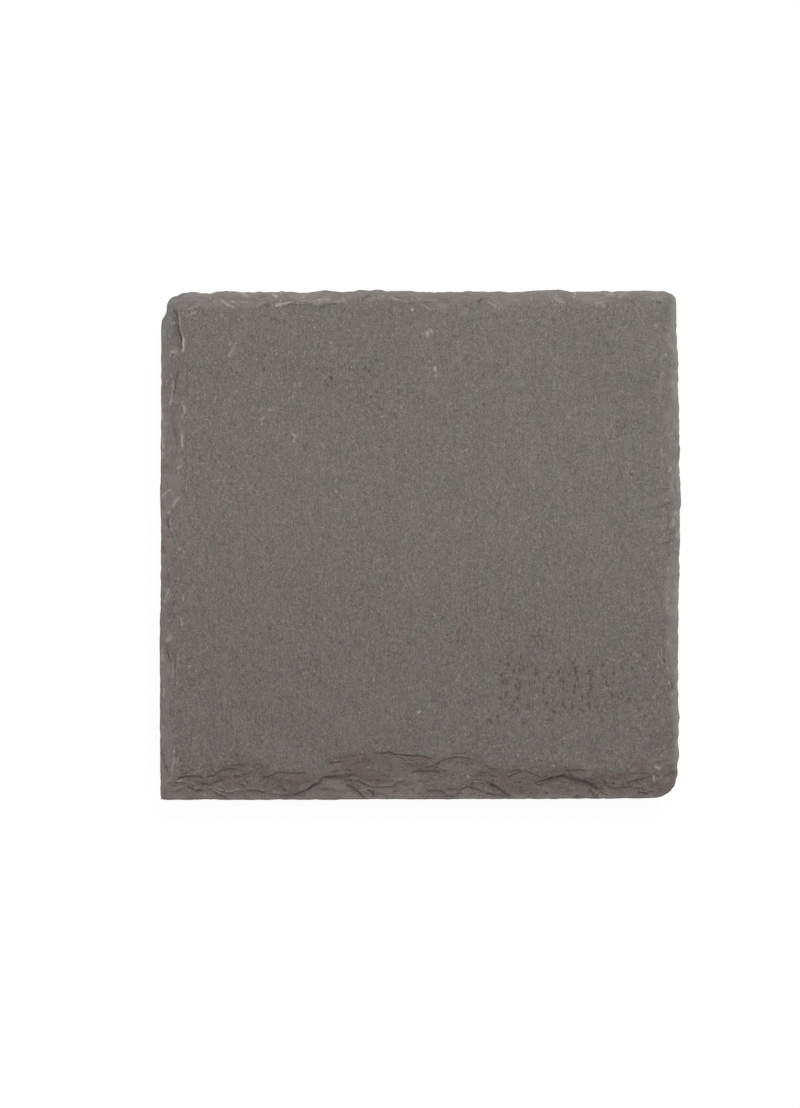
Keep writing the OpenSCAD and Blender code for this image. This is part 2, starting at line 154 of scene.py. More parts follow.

# %% [markdown]
# ## Flakes
#
# On the slopes the stone has come off in flakes, and each flake ends in a small step. A step is a drop in
# millimetres, how dark the painted shade of its crevice is, how pale its edge is, partly as a bruise and
# partly as a painted highlight, and a line drawn where the photograph shows it darkest or palest, in
# pixels. Walking along the line, the stone lies lower on the right hand. So front lines run from left to
# right, and those that catch the light from behind run from right to left.

# %% Flakes of the front
FRONT_FLAKES = [
    (0.38, 0.65, 0.2, [(176, 777.5), (181, 776.8), (192, 776), (200, 776.5), (205, 778.5)]),
    (0.34, 0.5, 0.2, [
        (203, 778), (210, 776.5), (216, 774.5), (220, 772), (223, 769.5), (229, 768.5), (239, 768),
    ]),
    (0.12, 0.4, 0.0, [(232, 765), (243, 764), (250, 762)]),
    (0.12, 0.5, 0.0, [(257, 762.5), (260, 765), (264, 768)]),
    (0.28, 0.6, 0.1, [
        (191, 781), (199, 781.5), (203, 784), (208, 784.5), (213, 783.5), (219, 781), (226, 779.5),
    ]),
    (0.18, 0.5, 0.4, [(174, 781.5), (181, 782.5), (188, 784.5)]),
    (0.28, 0.8, 0.2, [
        (186, 787), (192, 789), (195, 791.3), (199, 791.5), (203, 790.3), (208, 790.3), (213, 791.5),
    ]),
    (0.24, 0.35, 0.5, [(211, 791), (217, 793), (221, 795), (225, 797.5), (229, 799)]),
    (0.10, 0.1, 0.7, [(212, 788), (220, 791), (228, 793.5), (236, 791), (244, 790)]),
    (0.30, 0.8, 0.6, [(245, 790), (252, 790.5), (258, 791), (267, 792.3)]),
    (0.48, 0.8, 0.2, [
        (268, 791), (275, 794), (281, 795.5), (288, 796), (293, 795.5), (298, 794), (301, 792),
        (304, 790.5), (308, 790), (312, 787), (315, 784.5), (318, 784), (320, 782), (322, 779.5),
        (325, 777), (330, 776.8), (338, 776.5), (345, 775.5), (350, 774.5), (354, 774.3), (358, 776),
        (364, 778),
    ]),
    (0.28, 0.35, 0.2, [
        (256, 778.5), (264, 776.5), (270, 776), (274, 774.5), (277, 773.5), (284, 772.5), (292, 772.5),
        (300, 773.5), (310, 773),
    ]),
    (0.12, 0.5, 0.0, [(242, 783), (243.5, 786), (245, 790)]),
    (0.10, 0.3, 0.4, [(281, 784), (284, 787), (288, 790)]),
    (0.32, 0.5, 0.1, [
        (369, 751.5), (374, 752.3), (378, 753.5), (384, 753.5), (388, 752), (393, 753.5), (400, 754.7),
        (406, 755), (412, 755.5), (418, 755.7), (424, 757), (436, 759),
    ]),
    (0.22, 0.25, 0.4, [
        (390, 754), (398, 756.5), (403, 759), (407, 763), (411, 766), (416, 768), (424, 768.7),
    ]),
    (0.28, 0.32, 0.2, [
        (418, 766), (426, 767.5), (431, 767), (434, 765), (438, 762.5), (444, 760.5), (450, 758),
        (456, 757), (462, 757), (470, 758.5), (476, 762),
    ]),
    (0.10, 0.3, 0.0, [(449, 756), (460, 753), (471, 752)]),
    (0.28, 0.6, 0.1, [(409, 774), (416, 771.5), (422, 771), (428, 771), (434, 772), (443, 773)]),
    (0.26, 0.25, 0.5, [
        (338, 782.5), (345, 780.5), (352, 780), (358, 780.8), (363, 782.5), (367, 785), (372, 787),
        (378, 787.5), (385, 787), (391, 786.5), (395, 784), (399, 781.5), (404, 780), (411, 778.5),
    ]),
    (0.08, 0.3, 0.0, [(366, 779), (378, 780), (390, 782)]),
    (0.36, 0.8, 0.3, [
        (345, 783.5), (350, 787), (354, 789), (357, 791), (360, 794), (363, 796.5), (367, 799),
    ]),
    (0.22, 0.9, 0.1, [(366, 790), (370, 792), (374, 795)]),
    (0.15, 0.6, 0.1, [(368, 797.5), (376, 795), (381, 794.5), (390, 796.5)]),
    (0.18, 0.35, 0.2, [(426, 790), (432, 791), (437, 790.5), (446, 792.5)]),
    (0.30, 0.42, 0.2, [
        (441, 795.5), (450, 796.5), (455, 796), (457, 793.5), (459, 791.5), (462, 789), (466, 787.7),
        (470, 788), (475, 789.5), (479, 791), (485, 794),
    ]),
    (0.20, 0.6, 0.1, [(467, 795.5), (475, 794), (480, 796), (488, 798.5)]),
    (0.24, 0.6, 0.1, [(485, 793.5), (495, 795), (506, 796.5)]),
    (0.42, 0.75, 0.2, [
        (483, 781), (487, 783), (491, 785), (495, 787), (499, 789.5), (502, 791.3), (505, 793.5),
        (508, 795.3), (513, 798),
    ]),
    (0.16, 0.25, 0.1, [(477, 772), (485, 773), (490, 775), (499, 778)]),
    (0.10, 0.3, 0.0, [(484, 770), (495, 769), (507, 770.5)]),
    (0.18, 0.4, 0.1, [(328, 762.5), (336, 762), (345, 762)]),
    (0.10, 0.3, 0.0, [(326, 760.5), (340, 759), (347, 757), (353, 756), (362, 754.5), (370, 752.5)]),
    (0.12, 0.2, 0.0, [(341, 769.5), (346, 770.3), (352, 770.5)]),
    (0.20, 0.22, 0.1, [
        (504, 778.5), (513, 775), (519, 772), (525, 771), (531, 772.7), (536, 775.8), (541, 778.5),
        (548, 779),
    ]),
    (0.50, 0.9, 0.2, [
        (529, 781), (538, 781.5), (543, 780.5), (547, 779), (550, 777.5), (555, 776.5), (560, 776),
        (566, 775.8), (570, 776.5), (573, 778.2), (576, 779.2), (580, 779.6), (583, 780.2), (586, 781.6),
        (590, 783.6), (594, 785.8), (598, 788), (605, 790.5),
    ]),
    (0.30, 0.8, 0.1, [(563, 770), (568, 770.5), (573, 771), (578, 770), (588, 771)]),
    (0.16, 0.5, 0.1, [(581, 779), (588, 779.5), (596, 779)]),
    (0.26, 0.35, 0.2, [
        (600.5, 778), (603, 781.5), (606, 784.8), (610, 787.5), (616, 788.5), (622, 788), (632, 786),
    ]),
    (0.14, 0.4, 0.1, [(613, 777), (622, 773), (627, 769.5), (630, 766.5), (635, 761)]),
    (0.24, 0.5, 0.2, [(619, 786), (625, 783.5), (629, 782), (633, 781.2), (637, 779.7)]),
    (0.28, 0.6, 0.3, [(631, 781.5), (637, 779.5), (641, 779), (645, 777.5), (649, 777), (656, 776)]),
    (0.26, 0.7, 0.2, [(635, 791.7), (643, 793), (647, 793.5), (655, 791)]),
    (0.32, 1.2, 0.5, [(588, 788), (590, 790.5), (592, 793), (594, 796), (599, 799)]),
    (0.18, 0.4, 0.4, [(599, 790.5), (602, 793), (607, 796.5)]),
    (0.18, 0.35, 0.1, [(662, 777.5), (669, 773), (673, 771), (679, 770)]),
    (0.12, 0.3, 0.1, [(655, 763), (661, 761), (668, 762)]),
    (0.12, 0.3, 0.1, [(612, 786.5), (618, 787.5), (625, 786.5)]),
    (0.14, 0.6, 0.2, [(637, 780), (639, 784), (641, 788), (644, 792)]),
    (0.12, 0.4, 0.2, [(629, 784), (634, 788), (640, 790)]),
    (0.10, 0.4, 0.1, [(648, 782), (651, 786), (652, 790)]),
    (0.10, 0.4, 0.1, [(590, 776), (597, 777), (604, 776.5)]),
    (0.10, 0.4, 0.1, [(609, 776), (617, 779.5), (622, 779)]),
    (0.10, 0.3, 0.3, [(640, 773), (649, 774), (656, 772)]),
    (0.10, 0.4, 0.1, [(663, 770), (667, 765), (672, 763)]),
    (0.10, 0.4, 0.1, [(552, 781), (562, 782), (572, 781)]),
    (0.10, 0.4, 0.1, [(556, 789), (566, 789.5), (574, 790)]),
    (0.12, 0.5, 0.1, [(446, 789), (452, 789.5), (459, 788.5)]),
    (0.12, 0.5, 0.1, [(455, 797), (458, 794), (462, 791.5)]),
    (0.12, 0.4, 0.1, [(532, 783.5), (540, 784.5), (546, 783.5)]),
    (0.10, 0.4, 0.1, [(540, 776), (547, 778), (552, 779.5)]),
    (0.10, 0.4, 0.1, [(468, 780), (476, 780.5), (483, 782)]),
    (0.10, 0.4, 0.1, [(505, 771), (515, 770), (523, 770.5)]),
    (0.10, 0.4, 0.1, [(478, 791.5), (488, 793), (497, 794.5)]),
    (0.10, 0.4, 0.1, [(330, 771), (340, 770.5), (349, 772)]),
    (0.08, 0.3, 0.1, [(318, 790), (328, 789), (338, 790.5)]),
    (0.10, 0.4, 0.1, [(362, 791), (368, 794), (374, 796)]),
    (0.08, 0.3, 0.1, [(390, 791), (400, 790), (410, 791)]),
    (0.10, 0.4, 0.1, [(228, 766), (238, 764.5), (248, 766)]),
    (0.10, 0.5, 0.1, [(194, 783), (204, 785.5), (214, 784.5)]),
    (0.08, 0.3, 0.2, [(240, 784), (248, 786), (256, 785)]),
    (0.08, 0.4, 0.0, [(179, 774), (185, 773), (192, 773.5)]),
]

# %% Flakes of the other sides
BACK_FLAKES = [
    (0.08, 0.0, 0.4, [(199, 305.5), (195, 306.8), (191, 308.3), (187, 309)]),
    (0.08, 0.0, 0.35, [(198, 310.5), (193, 313.5), (186, 315.5)]),
    (0.10, 0.0, 0.65, [(237, 308.5), (233, 307), (230, 305.5), (226, 302), (221, 297)]),
    (0.06, 0.0, 0.2, [(240, 306), (236, 302), (232, 298)]),
    (0.08, 0.4, 0.0, [(252, 311), (258, 309.3), (264, 307.5), (272, 304.5)]),
    (0.10, 0.0, 0.7, [(291, 302), (286, 303), (283, 304), (280, 305.7), (275, 306)]),
    (0.10, 0.25, 0.3, [
        (279, 307), (287, 305), (293, 304.5), (300, 306), (306, 305.5), (313, 307), (320, 308),
    ]),
    (0.10, 0.25, 0.2, [(318, 308), (324, 307), (330, 305.5), (338, 304)]),
    (0.06, 0.0, 0.4, [(323, 303.5), (312, 303.5), (304, 303.5), (296, 304)]),
    (0.08, 0.0, 0.5, [(413, 301.5), (405, 300.7), (396, 299.5), (388, 296)]),
    (0.10, 0.0, 0.4, [(448, 309.5), (436, 309), (429, 308.5), (425, 306), (421, 303.3), (412, 301)]),
    (0.08, 0.35, 0.0, [(417, 304), (428, 304), (440, 303.7), (455, 302)]),
    (0.12, 0.6, 0.0, [(475, 304), (480, 302), (483, 300), (488, 298)]),
    (0.12, 0.0, 0.6, [(504, 313.5), (500, 309.7), (496, 306.7), (492, 303.5), (487, 299)]),
    (0.12, 0.0, 0.55, [(568, 301.5), (562, 301.5), (558, 300.5), (555.7, 297), (553.5, 290)]),
    (0.06, 0.0, 0.5, [(614, 301), (606, 301), (600, 301.5), (594, 303)]),
    (0.12, 0.5, 0.0, [(653, 302), (658, 303.5), (662, 303)]),
    (0.10, 0.4, 0.0, [(364, 300), (366, 298), (370, 295)]),
]
LEFT_FLAKES = [
    (0.55, 0.45, 0.4, [
        (175.6, 309), (176.6, 317), (177.6, 325), (179.6, 333), (181.6, 340), (182.6, 347), (182.1, 355),
    ]),
    (0.14, 0.5, 0.2, [(181.5, 354), (179, 366), (177.5, 376), (176, 388), (173, 402)]),
    (0.05, 0.1, 0.3, [(182, 430), (182.5, 437), (183, 448)]),
    (0.06, 0.2, 0.2, [(187, 432), (186, 450), (187, 470), (185, 500)]),
    (0.05, 0.0, 0.2, [(173, 488), (168, 492), (162, 496)]),
    (0.12, 0.5, 0.4, [(170, 515), (168.5, 524), (170, 531), (174, 541)]),
    (0.06, 0.3, 0.2, [(169, 570), (170, 580), (168, 592)]),
    (0.05, 0.0, 0.6, [(172, 590), (168, 597), (164, 604)]),
    (0.14, 0.45, 0.3, [(165, 641), (167, 648), (169, 655), (172, 666)]),
    (0.06, 0.3, 0.3, [(176, 650), (175.5, 668), (176, 692)]),
    (0.16, 0.5, 0.2, [(160, 744), (162, 752), (164, 761), (167, 771), (171, 780)]),
    (0.06, 0.2, 0.4, [(177, 742), (176.5, 755), (175, 764), (173, 776)]),
    (0.08, 0.4, 0.1, [(180, 754), (181.5, 764), (183, 774)]),
]
RIGHT_FLAKES = [
    (0.10, 0.1, 0.1, [(652, 511.5), (661, 507), (667, 503.5), (672, 501), (681, 498.5)]),
    (0.12, 0.4, 0.5, [(678, 498), (675, 490), (671, 480)]),
    (0.20, 0.65, 0.2, [(660, 544), (664, 543.5), (669, 542.5)]),
    (0.08, 0.3, 0.1, [(667, 541.5), (672, 540), (678, 539)]),
    (0.14, 0.6, 0.3, [(678, 557), (675, 553), (671, 548)]),
    (0.10, 0.4, 0.3, [(662, 600), (658, 595), (655, 588), (653, 580)]),
    (0.05, 0.0, 0.4, [(673, 530), (672.5, 523), (673, 516)]),
    (0.12, 0.5, 0.2, [(671, 692), (671.5, 687), (669.5, 680)]),
    (0.10, 0.4, 0.5, [(666, 664), (662, 658), (657, 650)]),
    (0.05, 0.1, 0.5, [(669, 674), (668.5, 655), (670, 636)]),
    (0.05, 0.1, 0.3, [(675, 404), (674, 380), (672, 352)]),
    (0.05, 0.1, 0.15, [(665, 470), (663, 455), (662, 436)]),
]
FLAKES = FRONT_FLAKES + BACK_FLAKES + LEFT_FLAKES + RIGHT_FLAKES
print("flakes:", len(FLAKES))

# %% [markdown]
# ## Stains
#
# The broken stone isn't all one grey. Flakes that came off along a purple layer leave purple patches with
# clear edges, drawn as a strength and a ring of points in pixels of the photograph. The small
# stains round the other sides are soft ovals instead, with a middle, half-widths and a strength. Noise
# frays the edges later.

# %% Stains
PURPLE_PATCHES = [
    (0.9, [
        (211, 766), (228, 760), (231, 753), (240, 751), (243, 764), (249, 771), (252, 784), (224, 785),
        (217, 778),
    ]),
    (0.7, [(252, 761), (262, 757), (268, 764), (272, 771), (271, 777), (263, 777), (256, 772)]),
    (0.75, [
        (270, 773), (292, 771), (304, 770), (309, 775), (305, 784), (298, 791), (284, 792), (272, 792),
        (262, 791), (260, 785), (268, 780),
    ]),
    (0.5, [
        (179, 771), (193, 771), (190, 776), (182, 778), (183, 784), (195, 786), (196, 790), (190, 793),
        (181, 788),
    ]),
    (0.9, [
        (326, 761), (340, 753), (366, 752), (382, 753), (385, 758), (374, 761), (373, 768), (378, 771),
        (390, 769), (391, 777), (400, 780), (407, 776), (405, 784), (396, 789), (372, 789), (355, 787),
        (336, 783), (345, 778), (350, 771), (340, 767),
    ]),
    (0.9, [
        (400, 757), (413, 754), (430, 756), (446, 757), (438, 763), (433, 767), (424, 768), (413, 767),
        (406, 762),
    ]),
    (0.5, [(414, 771), (430, 771), (438, 773), (430, 776), (420, 775)]),
    (0.6, [(450, 756), (456, 751), (464, 748), (473, 751), (482, 761), (482, 768), (474, 764), (466, 757)]),
    (0.9, [
        (476, 770), (500, 768), (528, 768), (534, 772), (524, 781), (512, 785), (502, 791), (494, 786),
        (484, 783), (476, 787), (464, 788), (466, 782), (476, 776),
    ]),
    (0.8, [(518, 787), (528, 781), (537, 786), (539, 794), (526, 797), (519, 794)]),
    (0.7, [(532, 770), (545, 765), (560, 764), (570, 767), (580, 771), (570, 775), (552, 776), (540, 778)]),
    (0.6, [(563, 785), (577, 780), (580, 786), (576, 791), (566, 791)]),
    (0.8, [
        (590, 769), (608, 769), (614, 773), (632, 771), (642, 773), (645, 779), (632, 783), (622, 789),
        (612, 788), (605, 782), (592, 783),
    ]),
    (0.9, [(634, 762), (640, 756), (647, 762), (645, 771), (636, 771)]),
    (0.8, [(637, 781), (650, 778), (658, 780), (662, 789), (654, 796), (644, 793), (636, 789)]),
    (0.8, [(662, 769), (674, 764), (677, 770), (676, 780), (671, 783), (668, 776)]),
    (0.7, [(608, 790), (622, 788), (626, 794), (612, 797)]),
]
PURPLE_STAINS = [
    (164, 778, 4, 11, 0.7), (163, 348, 5, 11, 0.8), (163, 388, 5, 11, 0.8), (162, 416, 5, 11, 0.9),
    (163, 467, 5, 10, 0.9), (164, 545, 5, 15, 0.8), (165, 655, 6, 12, 0.4), (177, 335, 6, 20, 0.3),
    (674, 440, 8, 45, 0.6), (672, 466, 7, 14, 0.3), (672, 660, 7, 12, 0.3), (665, 735, 12, 20, 0.3),
    (222, 297, 15, 7, 0.75), (256, 297, 12, 6, 0.4), (280, 294, 28, 5, 0.85), (337, 294, 13, 4.5, 0.75),
    (452, 295, 34, 5, 0.85), (485, 298, 9, 6, 0.75), (502, 301, 8, 6, 0.5), (524, 297, 16, 6, 0.75),
    (571, 297, 10, 8, 0.8), (565, 690, 80, 40, 0.22), (608, 295, 16, 4, 0.3),
]
OLIVE_STAINS = [
    (228, 301, 18, 5, 0.3), (318, 302, 34, 5.5, 0.45), (390, 300, 34, 6.5, 0.45), (436, 302, 24, 4, 0.35),
    (466, 300, 14, 6, 0.45), (611, 301, 32, 6, 0.4), (656, 301, 12, 5, 0.25), (548, 784, 26, 8, 0.6),
    (598, 793, 7, 6, 0.6), (675, 350, 5, 14, 0.5),
]
print("patches:", len(PURPLE_PATCHES), "stains:", len(PURPLE_STAINS), "purple,", len(OLIVE_STAINS), "olive")

# %% [markdown]
# ## Pits, chips and soft tones
#
# The cleft face has small dark pits, most of them in one cluster at the right and drawn out along the
# grain. They are given with a middle and half-widths in pixels of the photograph, and their darkness is
# painted shade. Loose chips and bruises, on the face and round the edges, are strokes or dots: how pale the
# mark is, partly as a painted highlight, or below zero how dark its painted shade is, its half-width and
# its points. Soft tones are strokes too, but broad ones that only make the stone a shade lighter or darker,
# as a share of what the eye sees, partly as painted light and shade.

# %% Pits
PITS = [
    (508, 664, 1.5, 3), (503, 682, 1.4, 3), (506.5, 681, 1.5, 3), (505, 694, 1.5, 2.5), (501, 675, 1, 3),
    (500, 660, 1, 2), (514, 670, 1.2, 3), (519, 669, 1.2, 3), (523, 669, 1, 3), (520, 684, 1.5, 3),
    (516, 687, 1, 2.5), (519, 690, 1.2, 2.5), (517, 697, 1.5, 3), (514, 701, 1.8, 2), (512, 707, 1.2, 3),
    (517, 710, 1, 2.5), (501, 699, 2, 1.5), (497, 717, 1.2, 2), (536, 674, 1.8, 2), (535, 670, 1, 2),
    (543, 691, 1.2, 3), (558, 671, 1.2, 2.5), (560, 680, 1.2, 2), (563, 681, 1.2, 3), (562, 687, 1.2, 2),
    (549, 677, 2, 1), (573, 663, 1, 2), (575, 669, 1.2, 3), (576, 673, 1.2, 3), (569, 674, 1, 2),
    (577, 680, 1, 3), (574, 687, 1.2, 3), (574, 693, 1.6, 2), (588, 671, 1.2, 2), (591, 674, 1.4, 3),
    (590, 679, 1.2, 2), (591, 686, 1.2, 3), (590, 690, 1.5, 3), (588, 694, 1.2, 2.5), (606, 683, 1.5, 2.5),
    (604, 678, 1, 2), (611, 695, 1.2, 4), (617, 697, 1, 2), (621, 693, 1, 2), (627, 690, 1, 3),
    (629, 699, 1.8, 2.6), (626, 701, 1.3, 2), (581, 697, 1, 3), (587, 704, 1.2, 3), (579, 709, 1, 2),
    (582, 711, 1, 2), (563, 704, 1.2, 3), (565, 708, 1.4, 2), (572, 706, 1, 2.5), (597, 708, 1.2, 2.5),
    (590, 705, 1, 2), (546, 703, 2, 1), (553, 711, 2, 1.5), (529, 706, 1, 3), (524, 722, 2.5, 1.2),
    (490, 721, 2, 2), (510, 652, 1, 2.5), (520, 657, 1, 3), (519, 664, 1, 2.5), (612, 673, 1, 1.5),
    (602, 665, 1.2, 2), (621, 668, 1.5, 2), (631, 669, 1.5, 2), (643, 656, 1.2, 1.5), (625, 664, 1.2, 1.2),
    (638, 709, 1, 2), (671, 685, 1.2, 2.5), (331, 379, 1.3, 3), (328, 387, 1.3, 2), (369, 372, 1.2, 2.2),
    (371, 397, 1.6, 1.2), (265, 356, 1.3, 1.3), (264, 370, 1, 2), (483, 405, 1.3, 1.4),
]
FAINT_PITS = [
    (494, 316, 1.5, 2), (389, 310, 1.2, 2.5), (255, 360, 1.3, 2), (271, 362, 1.2, 2), (274, 354, 1.3, 2),
    (284, 361, 1.3, 1.6), (258, 367, 1.2, 2), (271, 370, 1.2, 2), (266, 384, 1.3, 2.5), (336, 384, 1.2, 3),
    (343, 394, 1.3, 2.2), (327, 397, 1.6, 1.5), (357, 368, 1.3, 2.2), (363, 369, 1.2, 2),
    (374, 378, 1.2, 2.5), (379, 398, 1.3, 3), (376, 393, 1.2, 2), (350, 406, 1.3, 3), (367, 437, 1.3, 2.5),
    (338, 366, 1.2, 2.5), (664, 398, 1.6, 1.2), (666, 321, 1.3, 1.3), (671, 406, 1.3, 1.3),
    (652, 322, 1, 1.6), (647, 382, 1.3, 1.3), (658, 303, 1.6, 1.3), (533, 301, 1.3, 1.2),
    (366, 298, 1.4, 1.8), (412, 304, 3, 1.5), (478, 303, 1.8, 1.4),
]
print("pits:", len(PITS), "and", len(FAINT_PITS), "faint")

